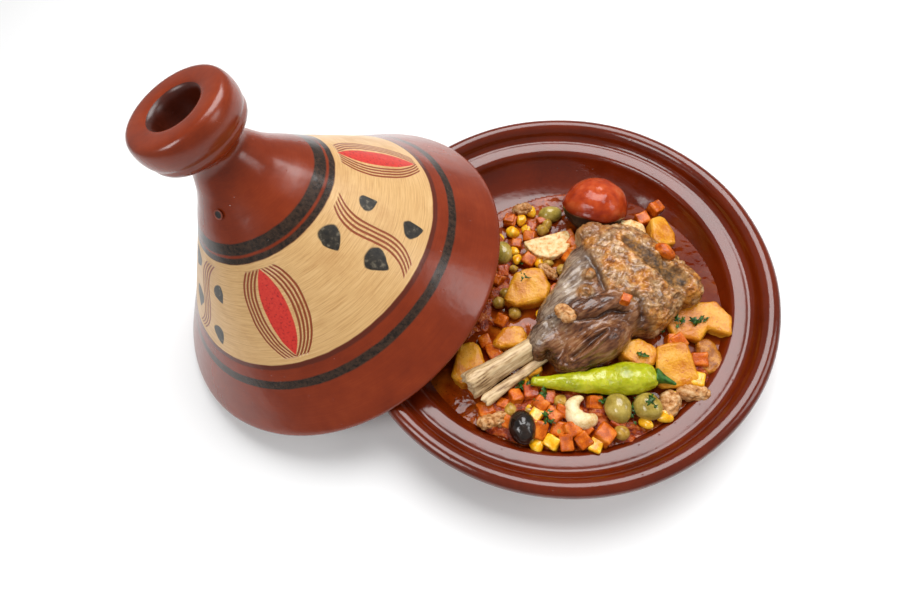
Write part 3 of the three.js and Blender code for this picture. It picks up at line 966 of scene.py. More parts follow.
def braised_meat():
    """Lamb braised in a tagine: brown glossy muscle, grey sinew, a torn fatty orange-stained end."""
    material, tree = new_material("braised_lamb")
    place = place_of(tree)
    zones = add(tree, "ShaderNodeAttribute", attribute_name="zones")
    split = add(tree, "ShaderNodeSeparateColor", {0: zones.outputs["Color"]})
    fat, char, grey = split.outputs[0], split.outputs[1], split.outputs[2]
    groove_shade = zones.outputs["Alpha"]
    strands = speckle(tree, along_grain(tree, place, SHANK_TURN - 6, 7), 1.7, 4)
    broad = speckle(tree, place, 15, 4)
    mid = speckle(tree, place, 5, 4)
    fine = speckle(tree, place, 1.5, 4)
    tone = maths(tree, "ADD", maths(tree, "MULTIPLY", broad, 0.55), maths(tree, "MULTIPLY", strands, 0.45))
    muscle = ramp(tree, tone, [(0.37, 0x34190C), (0.46, 0x613820), (0.55, 0x825535), (0.66, 0xA27C58)])
    sinew = ramp(tree, tone, [(0.38, 0x4A362C), (0.48, 0x76604F), (0.62, 0xA8947E)])
    mottled = maths(tree, "ADD", maths(tree, "MULTIPLY", mid, 0.7), maths(tree, "MULTIPLY", fine, 0.3))
    torn = ramp(tree, mottled, [(0.36, 0x5A3E26), (0.46, 0x86623F), (0.56, 0xAC8860), (0.67, 0xD0B48E)])
    oily = ramp(tree, mottled, [(0.37, 0x7A400E), (0.49, 0xB06A1A), (0.62, 0xCE8C36)])
    stain = ramp(tree, speckle(tree, place, 11, 4), [(0.42, 0.1), (0.60, 0.9)])
    torn = mix(tree, stain, torn, oily)
    crust = ramp(tree, mottled, [(0.38, 0x24160A), (0.50, 0x50340F), (0.62, 0x8E5E1E)])
    colour = mix(tree, grey, muscle, sinew)
    colour = mix(tree, ramp(tree, broad, [(0.60, 0.0), (0.72, 0.5)]), colour, 0x7A3A1A)
    colour = mix(tree, fat, colour, torn)
    colour = mix(tree, maths(tree, "MULTIPLY", char, 0.88), colour, crust)
    # Painted shade: the seams, the slit and the knuckle hole are darkened where shade falls in them.
    colour = mix(tree, maths(tree, "MULTIPLY", groove_shade, 0.7), colour, 0x2E170C)
    height = maths(tree, "ADD", maths(tree, "MULTIPLY", strands, 0.9), maths(tree, "MULTIPLY", fine, 0.6))
    rough = maths(tree, "ADD", maths(tree, "MULTIPLY", fine, 0.22), 0.08)
    rough = maths(tree, "ADD", rough, maths(tree, "MULTIPLY", char, 0.35))
    coat = maths(tree, "SUBTRACT", 0.4, maths(tree, "MULTIPLY", char, 0.36))
    close(tree, colour, rough, bumped(tree, height, 0.5, 0.8), IOR=1.40, Coat_Weight=coat,
          Coat_Roughness=0.04)
    return material


def dry_bone():
    """Boiled bone: pale, chalky and fibrous along its length, with brown shreds in its cracks."""
    material, tree = new_material("boiled_bone")
    place = place_of(tree)
    grain = speckle(tree, along_grain(tree, place, 40, 11), 1.5, 4)
    broad = speckle(tree, place, 13, 3)
    tone = maths(tree, "ADD", maths(tree, "MULTIPLY", grain, 0.6), maths(tree, "MULTIPLY", broad, 0.4))
    colour = ramp(tree, tone, [(0.34, 0x5C3A20), (0.42, 0xA6845A), (0.52, 0xCFB084), (0.68, 0xE2CCA2)])
    close(tree, colour, 0.48, bumped(tree, grain, 0.5, 0.8), IOR=1.5)
    return material


def shaft(radius, flare, start, end, seed):
    """A bone's shaft, flared and broken at its bare end, from inside the meat outwards."""
    start, end = Vector(start) * MM, Vector(end) * MM
    length = (end - start).length
    radius, flare = radius * MM, flare * MM
    profile = [
        (0, 0, 0), (radius, 0, 0), (radius, length * 0.5, 0), (radius * 1.12, length * 0.72, 0),
        (flare * 0.96, length - 5 * MM, 0), (flare, length - 1 * MM, 0),
        (flare * 0.78, length + 0.4 * MM, 0), (flare * 0.5, length - 1.5 * MM, 0),
        (flare * 0.3, length - 4.5 * MM, 0), (0, length - 5 * MM, 0),
    ]
    bm = spun(rounded(profile, 1.6 * MM, 3, 1.3 * MM), 40, closed=False)
    for v in bm.verts:
        turn = math.atan2(v.co.y, v.co.x)
        reach = v.co.z / length
        facet = 1 - 0.10 * math.cos(3 * turn + seed) - 0.05 * math.cos(2 * turn)
        stretched = Vector((v.co.x / 0.0022, v.co.y / 0.0022, v.co.z / 0.022 + seed))
        split = 0.5 - abs(noise.fractal(stretched, 1.0, 2.0, 3))
        out = facet + split * 0.10
        v.co.x *= out
        v.co.y *= out
        ragged = smoothstep(0.9, 1.0, reach)
        v.co.z += ragged * noise.noise(Vector((v.co.x, v.co.y, 0)) / 0.0035 + UP * seed) * 3 * MM
    turned = UP.rotation_difference((end - start).normalized()).to_matrix().to_4x4()
    return moved(bm, Matrix.Translation(start) @ turned)


class ShankSettings(bpy.types.PropertyGroup):
    voxel: bpy.props.FloatProperty(
        name="Skin detail", description="Size of the meat's facets", default=0.85 * MM,
        unit="LENGTH", subtype="DISTANCE",
    )


class TAGINE_OT_meat(bpy.types.Operator):
    """Makes the shank's meat with its seams, slit, sinew and torn fatty end"""

    bl_idname = "tagine.meat"
    bl_label = "Shank meat"

    def execute(self, context):
        bm = carved_meat(merged_lumps(MEAT_LUMPS, context.scene.tagine_shank.voxel))
        piece("shank_meat", bm, [braised_meat()], ["lamb_meat"])
        return {"FINISHED"}


class TAGINE_OT_bones(bpy.types.Operator):
    """Makes the two bare bones that stand out of the meat"""

    bl_idname = "tagine.bones"
    bl_label = "Bones"

    def execute(self, context):
        material = dry_bone()
        thick = shaft(6.6, 9.2, (-2, -47, 36), (-49.5, -86.5, 39), 1)
        slim = shaft(3.1, 4.4, (2, -56, 31.5), (-38, -94.5, 33), 4)
        piece("thick_bone", thick, [material], ["shank_bone"])
        piece("slim_bone", slim, [material], ["shin_bone"])
        return {"FINISHED"}


# ---- Chilli and tomato ----


def seated(bm, node):
    """Moves a shape so that its plan middle and its top are those of its CAD node."""
    low = Vector(min(v.co[axis] for v in bm.verts) for axis in range(3))
    high = Vector(max(v.co[axis] for v in bm.verts) for axis in range(3))
    middle, size = node_box(node)
    top = middle.z + size.z / 2
    shift = Vector((middle.x - (low.x + high.x) / 2, middle.y - (low.y + high.y) / 2, top - high.z))
    return moved(bm, Matrix.Translation(shift))


def bent(bm, radius):
    """Bends a shape that lies along X round a centre on +Y."""
    for v in bm.verts:
        angle = v.co.x / radius
        arm = radius - v.co.y
        v.co.x = arm * math.sin(angle)
        v.co.y = radius - arm * math.cos(angle)
    return bm


def chilli_skin():
    """Steamed green chilli: waxy, taut and bright, finely puckered."""
    material, tree = new_material("green_chilli_skin")
    place = place_of(tree)
    broad = speckle(tree, place, 14, 3)
    fine = speckle(tree, place, 2.4, 3)
    tone = maths(tree, "ADD", maths(tree, "MULTIPLY", broad, 0.7), maths(tree, "MULTIPLY", fine, 0.3))
    colour = ramp(tree, tone, [(0.36, 0x8C9204), (0.50, 0xAEB00A), (0.66, 0xC8C62E)])
    height = maths(tree, "ADD", fine, maths(tree, "MULTIPLY", speckle(tree, place, 5, 2), 1.4))
    close(tree, colour, 0.20, bumped(tree, height, 0.7, 0.8), IOR=1.45, Coat_Weight=0.5,
          Coat_Roughness=0.06, Subsurface_Weight=0.08, Subsurface_Scale=0.004)
    return material


def leafy(name, dark, light, size_mm=4):
    """A green leaf or stalk: matt, darker between its veins."""
    material, tree = new_material(name)
    place = place_of(tree)
    tone = speckle(tree, place, size_mm, 4)
    colour = ramp(tree, tone, [(0.36, dark), (0.64, light)])
    close(tree, colour, 0.38, bumped(tree, tone, 0.4, 0.8), IOR=1.45)
    return material


class TAGINE_OT_chilli(bpy.types.Operator):
    """Makes the long green chilli and its stalk"""

    bl_idname = "tagine.chilli"
    bl_label = "Chilli"

    def execute(self, context):
        profile = [(0, 0), (2.4, 0.6), (3.4, 4), (4.6, 15), (6.6, 32), (8.4, 46), (9.9, 60),
                   (10.3, 70), (9.7, 79), (7.6, 84.5), (4.2, 85.6), (0, 84.6)]
        bm = spun(rounded(in_mm(profile), 5 * MM, 4, 1.4 * MM), 48, closed=False)
        for v in bm.verts:
            turn = math.atan2(v.co.y, v.co.x)
            reach = v.co.z / (86 * MM)
            lobes = 1 + 0.045 * math.cos(3 * turn + 0.8) * smoothstep(0.2, 0.8, reach)
            waist = 1 - 0.05 * math.sin(reach * 15)
            v.co.x *= lobes * waist
            v.co.y *= lobes * waist
        moved(bm, placed((0, 0, 0), (0, 90, 0)))
        roughened(bm, 11 * MM, 0.8 * MM, 2, octaves=3)
        roughened(bm, 2.6 * MM, 0.22 * MM, 5)
        bmesh.ops.scale(bm, vec=(0.94, 1, 1), verts=bm.verts)
        bent(bm, 420 * MM)
        moved(bm, placed((0, 0, 0), (0, -1.5, 3)))
        moved(seated(bm, "chilli"), Matrix.Translation((-2.6 * MM, 0, 0)))
        piece("green_chilli", bm, [chilli_skin()], ["chilli"])
        self.stalk()
        return {"FINISHED"}

    def stalk(self):
        """The stalk, its cap pressed onto the chilli's shoulder."""
        profile = [(0, 0.6), (5.4, -0.8), (6.8, -0.2), (6.2, 1.6), (4.4, 4.6), (2.8, 8.5), (1.8, 12.5),
                   (1.2, 16), (0, 16.4)]
        bm = spun(rounded(in_mm(profile), 1.5 * MM, 3, 0.9 * MM), 36, closed=False)
        for v in bm.verts:
            turn = math.atan2(v.co.y, v.co.x)
            skirt = 1 - smoothstep(0, 0.006, v.co.z)
            fold = 1 + 0.10 * math.cos(5 * turn) * (0.4 + skirt)
            v.co.x *= fold
            v.co.y *= fold
        moved(bm, placed((0, 0, 0), (0, 90, 0)))
        bent(bm, -60 * MM)
        moved(bm, placed((0, 0, 0), (0, 4, -8)))
        green = leafy("chilli_stalk", 0x18400A, 0x3C7418)
        bmesh.ops.scale(bm, vec=(0.85, 0.85, 0.85), verts=bm.verts)
        moved(seated(bm, "chilli_stem"), Matrix.Translation((-8.8 * MM, 0.6 * MM, -1.5 * MM)))
        piece("chilli_stalk", bm, [green], ["chilli_stem"])


def tomato_skin():
    """A stewed tomato's skin: orange-red on top, with painted shade towards the base, near-black below a rolled
    edge: partly sauce, partly painted shadow and reflection.
    """
    material, tree = new_material("stewed_tomato_skin")
    place = place_of(tree)
    broad = speckle(tree, place, 12, 3)
    colour = ramp(tree, broad, [(0.34, 0x8E2A10), (0.52, 0xB04018), (0.70, 0xC05A30)])
    under = painted(tree, "under")
    low = painted(tree, "low")
    # Painted shade: "low" darkens the dome towards its base; "under" is the near-black base, partly sauce and
    # partly painted shadow and reflection.
    colour = mix(tree, low, colour, 0x6E1C0A)
    colour = mix(tree, under, colour, 0x240903)
    fibres = speckle(tree, place, 2.6, 3)
    rough = maths(tree, "ADD", maths(tree, "MULTIPLY", under, 0.4), 0.14)
    close(tree, colour, rough, bumped(tree, fibres, 0.35, 0.6), IOR=1.38)
    return material


class TAGINE_OT_tomato(bpy.types.Operator):
    """Makes the whole stewed tomato, its skin rolled back over a dark base of sauce and painted shadow"""

    bl_idname = "tagine.tomato"
    bl_label = "Tomato"

    def execute(self, context):
        half = 20.5 * MM
        bm = ball((25 * MM, 25 * MM, half), 80, 56)
        under = bm.verts.layers.float.new("under")
        low = bm.verts.layers.float.new("low")
        for v in bm.verts:
            turn = math.atan2(v.co.y, v.co.x)
            wave = noise.noise(Vector((math.cos(turn), math.sin(turn), 0)) * 1.7)
            edge = (-1.2 + 1.3 * wave) * MM
            below = smoothstep(edge + 0.6 * MM, edge - 1.2 * MM, v.co.z)
            roll = math.exp(-(((v.co.z - edge - 1.2 * MM) / (1.2 * MM)) ** 2))
            lobe = 1 + 0.018 * math.cos(5 * turn) * (v.co.z / half)
            # under marks the base below the rolled edge, partly sauce and partly painted shadow; low marks
            # painted shade rising towards the base.
            v[under] = below
            v[low] = 0.85 * smoothstep(edge + 7 * MM, edge + 1.5 * MM, v.co.z)
            v.co.x *= lobe * (0.985 + 0.025 * roll - 0.03 * below)
            v.co.y *= lobe * (0.985 + 0.025 * roll - 0.03 * below)
        for v in bm.verts:
            away = math.hypot(v.co.x + 1.5 * MM, v.co.y + 10 * MM) / MM
            if v.co.z > 0:
                ripple = math.cos(away * 1.6) * math.exp(-away / 3.2)
                v.co.z -= (1.6 * math.exp(-((away / 4.2) ** 2)) - 0.7 * ripple) * MM
        roughened(bm, 17 * MM, 0.9 * MM, 3)
        roughened(bm, 4 * MM, 0.18 * MM, 8)
        middle = top_of("tomato", 20 * MM) + Vector((0.5, 1, 0.8)) * MM
        moved(bm, placed(middle, (-28, 6, 0)))
        piece("stewed_tomato", bm, [tomato_skin()], ["tomato"])
        return {"FINISHED"}


# ---- Olives ----


def olive(radii, seed, wrinkle=0.0):
    """An olive lying on its side, its stalk's pit at one end."""
    bm = ball(radii, 40, 26)
    long = max(range(3), key=lambda axis: radii[axis])
    end = Vector((0, 0, 0))
    end[long] = radii[long]
    inward = -end.normalized()
    dented(bm, end, 2.4 * MM, 1.3 * MM, inward)
    dented(bm, -end, 1.2 * MM, 0.35 * MM, -inward)
    roughened(bm, 9 * MM, 0.55 * MM, seed)
    if wrinkle:
        roughened(bm, 3.4 * MM, wrinkle, seed + 1, ridged=True)
    return bm


# Half sizes of each green olive, in millimetres, and its turn about Z.
OLIVES = {
    "olive_1": ((9.6, 7.2, 7), 12),
    "olive_2": ((8, 10.2, 7.6), 8),
    "olive_3": ((8.4, 10.2, 8.2), 10),
    "olive_4": ((9.2, 8.6, 8.2), -20),
}


class TAGINE_OT_olives(bpy.types.Operator):
    """Makes the green olives and the black one"""

    bl_idname = "tagine.olives"
    bl_label = "Olives"

    def execute(self, context):
        green = wet_food("cured_green_olive", [(0.36, 0x84702A), (0.50, 0xAA9240), (0.64, 0xC2AA5A)], 8, 0.16,
                         0.25, 1.42, Coat_Weight=0.4, Coat_Roughness=0.06)
        for seed, (node, (half, turn)) in enumerate(OLIVES.items()):
            radii = [h * MM for h in half]
            bm = olive(radii, seed + 1)
            moved(bm, placed(top_of(node, radii[2]), (0, 8, turn)))
            piece("green_" + node, bm, [green], [node])
        black = wet_food("cured_black_olive", [(0.40, 0x0E0907), (0.66, 0x33241C)], 6, 0.14, 0.3, 1.45,
                         Coat_Weight=0.5, Coat_Roughness=0.06)
        radii = (8.8 * MM, 11 * MM, 8.6 * MM)
        bm = olive(radii, 6, 0.5 * MM)
        moved(bm, placed(top_of("black_olive", radii[2]), (0, 0, 15)))
        piece("cured_black_olive", bm, [black], ["black_olive"])
        return {"FINISHED"}


# ---- Potatoes ----


def on_stew(x, y, lift):
    """A place given in millimetres, lifted from the stew's surface."""
    return Vector((x * MM, y * MM, stew_height(x * MM, y * MM) + lift * MM))


def sliced_round(radius, start, sweep, steps=14):
    """A flat slice's outline: an arc closed by its cut."""
    angles = [math.radians(start + sweep * i / steps) for i in range(steps + 1)]
    return [(radius * math.cos(a) * MM, radius * math.sin(a) * MM) for a in angles]


def chunk_outline(w, d, cut=0.25):
    """A seven-sided chunk, its corners cut off unevenly."""
    points = [
        (-w / 2, -d / 2 + d * cut), (-w / 2 + w * cut, -d / 2), (w / 2 - w * cut * 0.6, -d / 2),
        (w / 2, -d / 2 + d * cut * 1.3), (w / 2 - w * cut * 0.3, d / 2 - d * cut * 0.4),
        (w / 2 - w * cut * 1.2, d / 2), (-w / 2 + w * cut * 1.4, d / 2 - d * 0.05),
    ]
    return [(x * MM, y * MM) for x, y in points]


def notched_outline(w, d):
    points = [
        (-w / 2, -d * 0.2), (-w * 0.25, -d / 2), (w * 0.12, -d * 0.42), (w * 0.16, -d * 0.12),
        (w / 2, -d * 0.1), (w * 0.42, d * 0.28), (w * 0.12, d / 2), (-w * 0.2, d * 0.3),
    ]
    return [(x * MM, y * MM) for x, y in points]


def boiled(outline, thick, bevel, seed):
    """A cut block softened by boiling, its faces crumbled a little."""
    bm = outline_block(outline, thick * MM, bevel * MM)
    refined(bm, 3, 0.2)
    refined(bm, 1, 0.3)
    roughened(bm, 9 * MM, 0.7 * MM, seed)
    roughened(bm, 2.6 * MM, 0.35 * MM, seed + 4)
    return bm


# Each potato: outline, thickness, rounding, place above the stew and turns in degrees.
POTATOES = {
    "potato_slice": (sliced_round(18.5, -188, 200), 6, 1.2, (-6, 44, 6), (-6, 4, 22)),
    "potato_big": (chunk_outline(37, 28), 20, 3.0, (-19, -3, 6), (6, -4, 18)),
    "potato_small": (chunk_outline(26, 17), 15, 3.0, (-27, -45, 5), (0, 4, 10)),
    "potato_under_lid": (chunk_outline(26, 30), 18, 3.0, (-54, -68, 5), (0, 0, 20)),
    "potato_under_bone": (chunk_outline(16, 14), 14, 3.0, (-10, -66, 4), (0, 0, 30)),
    "potato_notched": (notched_outline(44, 35), 11, 1.8, (101, -20, 4), (4, -6, -20)),
    "potato_square": (chunk_outline(27, 30, 0.15), 11, 1.8, (82, -55, 5.5), (8, -4, 12)),
    "potato_wedge": (chunk_outline(27, 19), 14, 2.4, (60, -48, 4), (0, 0, -30)),
    "potato_far": (chunk_outline(20, 27), 15, 2.0, (77, 54, 4), (0, 10, 20)),
    "potato_brown": (chunk_outline(18, 25), 8, 2.4, (105, -45, 1.5), (0, 0, 20)),
}


class PotatoSettings(bpy.types.PropertyGroup):
    flesh: bpy.props.FloatVectorProperty(
        name="Flesh", description="Colour of potato stained by the sauce", subtype="COLOR", size=4,
        min=0, max=1, default=linear(0xD8921E),
    )


def stained_potato(flesh):
    """Boiled potato dyed by saffron and paprika: waxy, deeper orange where the sauce lies."""
    material, tree = new_material("saffron_potato")
    place = place_of(tree)
    broad = speckle(tree, place, 17, 3)
    fine = speckle(tree, place, 1.5, 3)
    tone = maths(tree, "ADD", maths(tree, "MULTIPLY", broad, 0.75), maths(tree, "MULTIPLY", fine, 0.25))
    colour = mix(tree, ramp(tree, tone, [(0.42, 0.9), (0.54, 0.0)]), flesh, 0xBC6A10)
    colour = mix(tree, ramp(tree, tone, [(0.52, 0.0), (0.64, 0.6)]), colour, 0xE2A840)
    fleck = ramp(tree, speckle(tree, place, 2.2, 2), [(0.64, 0.0), (0.72, 0.6)])
    colour = mix(tree, fleck, colour, 0xA8420C)
    height = maths(tree, "ADD", fine, maths(tree, "MULTIPLY", broad, 1.5))
    close(tree, colour, 0.27, bumped(tree, height, 0.5, 0.7), IOR=1.38)
    return material


class TAGINE_OT_potatoes(bpy.types.Operator):
    """Makes the potato chunks and slices"""

    bl_idname = "tagine.potatoes"
    bl_label = "Potatoes"

    def execute(self, context):
        flesh = stained_potato(context.scene.tagine_potatoes.flesh)
        pale = wet_food("sauce_flecked_potato", [(0.36, 0xD2842E), (0.46, 0xE9BC7C), (0.62, 0xF2D6A2)], 3.2,
                        0.30, 0.5, 1.4, Subsurface_Weight=0.1, Subsurface_Scale=0.003)
        brown = wet_food("browned_potato", [(0.36, 0x7A3E0C), (0.50, 0xAA661A), (0.64, 0xC88A34)],
                         6, 0.25, 0.6)
        finish = {"potato_slice": pale, "potato_brown": brown}
        for seed, (node, (outline, thick, bevel, at, turn)) in enumerate(POTATOES.items()):
            bm = boiled(outline, thick, bevel, seed * 2 + 1)
            moved(bm, placed(on_stew(*at), turn))
            piece("boiled_" + node, bm, [finish.get(node, flesh)], [node])
        bm = roughened(ball((12 * MM, 7 * MM, 6 * MM), 40, 26), 5 * MM, 1.4 * MM, 4)
        moved(bm, placed(on_stew(57, 58, 6), (0, 0, -15)))
        piece("boiled_potato_pale", bm, [pale], ["potato_pale"])
        return {"FINISHED"}


# ---- Nuts ----


def walnut(radii, seed):
    """A piece of walnut kernel, with its deep folds."""
    bm = ball(radii, 56, 36)
    bm.normal_update()
    shift = Vector((seed * 2.3, seed * 5.1, seed * 0.7))
    for v in bm.verts:
        fold = noise.noise(v.co / (4.4 * MM) + shift)
        fold += 0.5 * noise.noise(v.co / (2.2 * MM) + shift)
        cleft = math.exp(-((v.co.x / radii[0] / 0.22) ** 2)) * 0.5
        push = min(0.5, abs(fold) * 1.5) - 0.13 - cleft
        v.co += v.normal * (push * 0.42 * min(radii))
    return bm


# Half sizes, plan place, lift above the stew and turn, in millimetres and degrees.
WALNUTS = {
    "walnut_1": ((8, 5.4, 5.2), (-28.5, 76, 5), 20),
    "walnut_2": ((8.5, 4.4, 4.4), (-3.5, 15, 5.5), -38),
    "walnut_3": ((11, 5.4, 5.6), (-31, -105, 4.5), 22),
    "walnut_4": ((6.4, 9.5, 5.6), (79, -82, 5), -24),
    "walnut_5": ((10, 5.4, 5.4), (94.5, -72.5, 4), 4),
}


class TAGINE_OT_nuts(bpy.types.Operator):
    """Makes the walnut pieces and the cashew"""

    bl_idname = "tagine.nuts"
    bl_label = "Nuts"

    def execute(self, context):
        skin = wet_food("walnut_kernel", [(0.34, 0x7E4818), (0.46, 0xB57A42), (0.56, 0xCB9A66),
                                          (0.68, 0xE0BC90)],
                        3.2, 0.34, 0.5)
        for seed, (node, (half, at, turn)) in enumerate(WALNUTS.items()):
            bm = walnut([h * MM for h in half], seed + 1)
            moved(bm, placed(on_stew(*at), (0, 0, turn)))
            piece("kernel_" + node, bm, [skin], [node])
        bm = walnut((7.4 * MM, 5.4 * MM, 3.6 * MM), 9)
        moved(bm, placed((0, 0, 0), (8, 4, -35)))
        piece("kernel_walnut_top", seated(bm, "walnut_top"), [skin], ["walnut_top"])
        pale = wet_food("cashew_kernel", [(0.36, 0xC89C5E), (0.50, 0xE4CB98), (0.64, 0xEFDDB4)], 7, 0.28, 0.3)
        bm = ball((16 * MM, 5.9 * MM, 5.2 * MM), 40, 40)
        for v in bm.verts:
            along = v.co.x / (17 * MM)
            v.co.y *= 1 + 0.25 * along
            v.co.z *= 1 + 0.12 * along
        roughened(bm, 7 * MM, 0.5 * MM, 2)
        bent(bm, 7.2 * MM)
        moved(bm, placed((0, 0, 0), (12, 0, -50)))
        piece("cashew_kernel", seated(bm, "cashew"), [pale], ["cashew"])
        return {"FINISHED"}


# ---- Diced vegetables, corn and pulses ----


def carrot_die(side, seed):
    """A carrot cube, its edges softened by stewing."""
    h = side / 2
    outline = [(-h, -h * 0.94), (h * 0.96, -h), (h, h * 0.97), (-h * 0.93, h)]
    bm = outline_block(outline, side * 0.9, side * 0.15)
    refined(bm, 2, 0.5)
    roughened(bm, side * 0.7, side * 0.07, seed)
    roughened(bm, side * 0.22, side * 0.03, seed + 3)
    return meshed(bm, "carrot_die")


def corn_grain(size, seed):
    """A grain of corn: a rounded tooth, narrower at its root."""
    bm = ball((size * 0.5, size * 0.62, size * 0.36), 20, 14)
    for v in bm.verts:
        along = v.co.y / (size * 0.62)
        v.co.x *= 1 + 0.2 * along
        v.co.z *= 1 + 0.12 * along
    dented(bm, Vector((0, size * 0.35, size * 0.36)), size * 0.45, size * 0.09)
    roughened(bm, size * 0.6, size * 0.05, seed)
    return meshed(bm, "corn_grain")


def pulse(size, seed):
    """A chickpea or pea, with a small beak and a crease."""
    bm = ball((size * 0.5, size * 0.5, size * 0.48), 22, 16)
    dented(bm, Vector((size * 0.48, 0, 0)), size * 0.3, size * 0.16, Vector((1, 0, 0)))
    for v in bm.verts:
        crease = math.exp(-((v.co.y / (size * 0.07)) ** 2)) * max(0, v.co.x / size)
        v.co *= 1 - 0.16 * crease
    roughened(bm, size * 0.45, size * 0.05, seed)
    return meshed(bm, "pulse")


def scattered(spots, maker, seed, tilt=18, spread=0.12):
    """One mesh of many like pieces: each spot is x, y, size and lift above the stew."""
    rand = random.Random(seed)
    bm = bmesh.new()
    shapes = {}
    for i, (x, y, size, lift) in enumerate(spots):
        kind = i % 4
        if kind not in shapes:
            shapes[kind] = maker(MM, seed + kind)
        turn = (rand.uniform(-tilt, tilt), rand.uniform(-tilt, tilt), rand.uniform(0, 90))
        grow = [size * rand.uniform(1 - spread, 1 + spread) for _ in range(3)]
        stamp(bm, shapes[kind], placed(on_stew(x, y, lift), turn, grow))
    for shape in shapes.values():
        bpy.data.meshes.remove(shape)
    return bm


# Diced carrots that lie on the stew: plan place, side and lift, in millimetres.
CARROTS = (
    (-37, -98, 11, 4), (-18, -88, 9, 7), (-1.6, -91.5, 10, 8), (7, -99, 10, 8), (13, -94, 8, 6),
    (19, -106, 10, 6), (17, -114, 10, 5), (27, -112, 10, 5), (39.5, -107, 11, 5), (-2, -108, 11, 6),
    (-21, -105, 9, 4), (33, -86, 9, 6), (-26, -93, 8, 4), (11, -106, 9, 4), (29, -104, 9, 4),
    (100, -49, 10, 3), (87, -36, 10, 3), (-38, 65, 9, 4), (-20, 49.5, 10, 2), (-30, 42, 8, 2),
    (14, 43, 9, 4), (13, 30, 10, 4), (-44, -47, 10, 2), (-42, 6, 10, 2), (-34, -29, 10, 2),
    (-36, -54, 11, 2), (11, 52, 8, 3), (-52, -12, 9, 2), (-48, 30, 9, 2), (4, 36, 8, 2),
    (-14, -78, 8, 3), (22, -98, 7, 2), (-46, -84, 9, 2), (52, -92, 8, 2),
)
# Half-dissolved tomato among them.
TOMATO_BITS = (
    (-8.5, -84, 11, 5), (3, -86, 10, 5), (-22, -80, 9, 3), (-6, -98, 8, 4), (-12, 66, 8, 2),
    (-20, 60, 9, 1), (48, -98, 9, 3), (-30, -70, 10, 2), (-6, 28, 9, 1), (-38, 16, 9, 1),
)
YELLOW_DICE = (
    (-3.6, -100, 9.5, 8), (7.7, -115, 9.5, 5), (35, -114, 9, 4), (97, -64, 9.5, 4),
)
CORN = (
    (-15, -74, 9, 6), (-1.6, -118, 9, 4), (65, -96, 7.5, 5), (76, -90, 9, 5), (-7, -95, 6, 6),
    (-35, 54, 8, 3), (-11, 24, 8, 4), (-28, 26, 8, 4), (-5.5, -22, 8, 3), (-31, 35, 7, 2),
    (-44, 48, 7, 2), (-12, -103, 7, 4), (83, -76, 6, 4), (-27, -82, 6, 3),
)
PULSES = (
    (50, -104, 10, 5), (11, -88, 9, 6), (-20.5, -97, 9, 6), (-8, -96, 8, 4), (11, -108, 5, 6),
    (-7, 62, 9, 3), (-4, 24, 8, 3), (-38, -14, 9, 3), (-30, 18, 7, 2), (-34, -5, 9, 2),
)


class TAGINE_OT_diced(bpy.types.Operator):
    """Makes the carrot cubes, corn, chickpeas and peas"""

    bl_idname = "tagine.diced"
    bl_label = "Diced vegetables"

    def execute(self, context):
        carrot = wet_food("stewed_carrot", [(0.36, 0x9A3E04), (0.50, 0xC45A0A), (0.64, 0xDC7C24)],
                          5, 0.22, 0.5)
        corn = wet_food("sweetcorn", [(0.36, 0xD98A06), (0.50, 0xF0AE12), (0.66, 0xF8CE4A)], 4, 0.18, 0.25,
                        Coat_Weight=0.4, Coat_Roughness=0.08, Subsurface_Weight=0.12, Subsurface_Scale=0.003)
        pea = wet_food("boiled_chickpea", [(0.36, 0x8E661C), (0.50, 0xB48A34), (0.66, 0xD0AA58)], 4, 0.22, 0.25,
                       Coat_Weight=0.3, Coat_Roughness=0.1)
        self.single("carrot", "diced_", carrot_die, carrot)
        self.single("corn", "grain_", corn_grain, corn)
        self.single("pea", "boiled_", pulse, pea)
        bits = wet_food("stewed_tomato_flesh", [(0.36, 0x8A260A), (0.50, 0xB04812), (0.66, 0xCC6C30)],
                        5, 0.14, 0.8,
                        Coat_Weight=0.2, Coat_Roughness=0.05)
        groups = (
            ("diced_carrots", CARROTS, carrot_die, carrot, "carrot"),
            ("yellow_dice", YELLOW_DICE, carrot_die, corn, "corn"),
            ("corn_grains", CORN, corn_grain, corn, "corn"),
            ("chickpeas", PULSES, pulse, pea, "pea"),
            ("tomato_bits", TOMATO_BITS, carrot_die, bits, "vegetable_mix"),
        )
        for seed, (name, spots, maker, material, slot) in enumerate(groups):
            piece(name, scattered(spots, maker, seed * 10 + 3), [material])
        return {"FINISHED"}

    def single(self, kind, prefix, maker, material):
        """Makes each larger piece that has its own CAD node."""
        names = [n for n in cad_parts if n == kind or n.startswith(kind + "_")]
        for seed, node in enumerate(sorted(names)):
            middle, size = node_box(node)
            across = max(size.x, size.y) / MM
            if maker is carrot_die:
                across = {"carrot_top_1": 10.5, "carrot_top_2": 6.6}.get(node, 10.5)
                turns = (6, -5, 30 + 17 * seed)
            elif maker is corn_grain:
                turns = (10, 0, 40 * seed)
            else:
                turns = (0, 0, 70 * seed)
            bm = bmesh.new()
            shape = maker(MM, seed)
            stamp(bm, shape, placed((0, 0, 0), turns, [across] * 3))
            bpy.data.meshes.remove(shape)
            seated(bm, node)
            if node == "carrot_top_1":
                bm = ball((8 * MM, 4.6 * MM, 4 * MM), 28, 18)
                roughened(bm, 6 * MM, 0.7 * MM, 4)
                moved(bm, placed((0, 0, 0), (-10, 8, -38)))
                seated(bm, node)
                moved(bm, Matrix.Translation((-4 * MM, -7 * MM, -2 * MM)))
            piece(prefix + node, bm, [material], [node])


# Heaps of the stew's small things: CAD node, plan middle, half sizes and turn.
BEDS = {
    "heap_front": ((18, -98), (61, 20.5, 6.5), 4),
    "heap_left": ((-62, 2), (33.5, 65, 4), 8),
    "heap_right": ((97, -60), (14.5, 10.5, 4.5), 50),
}


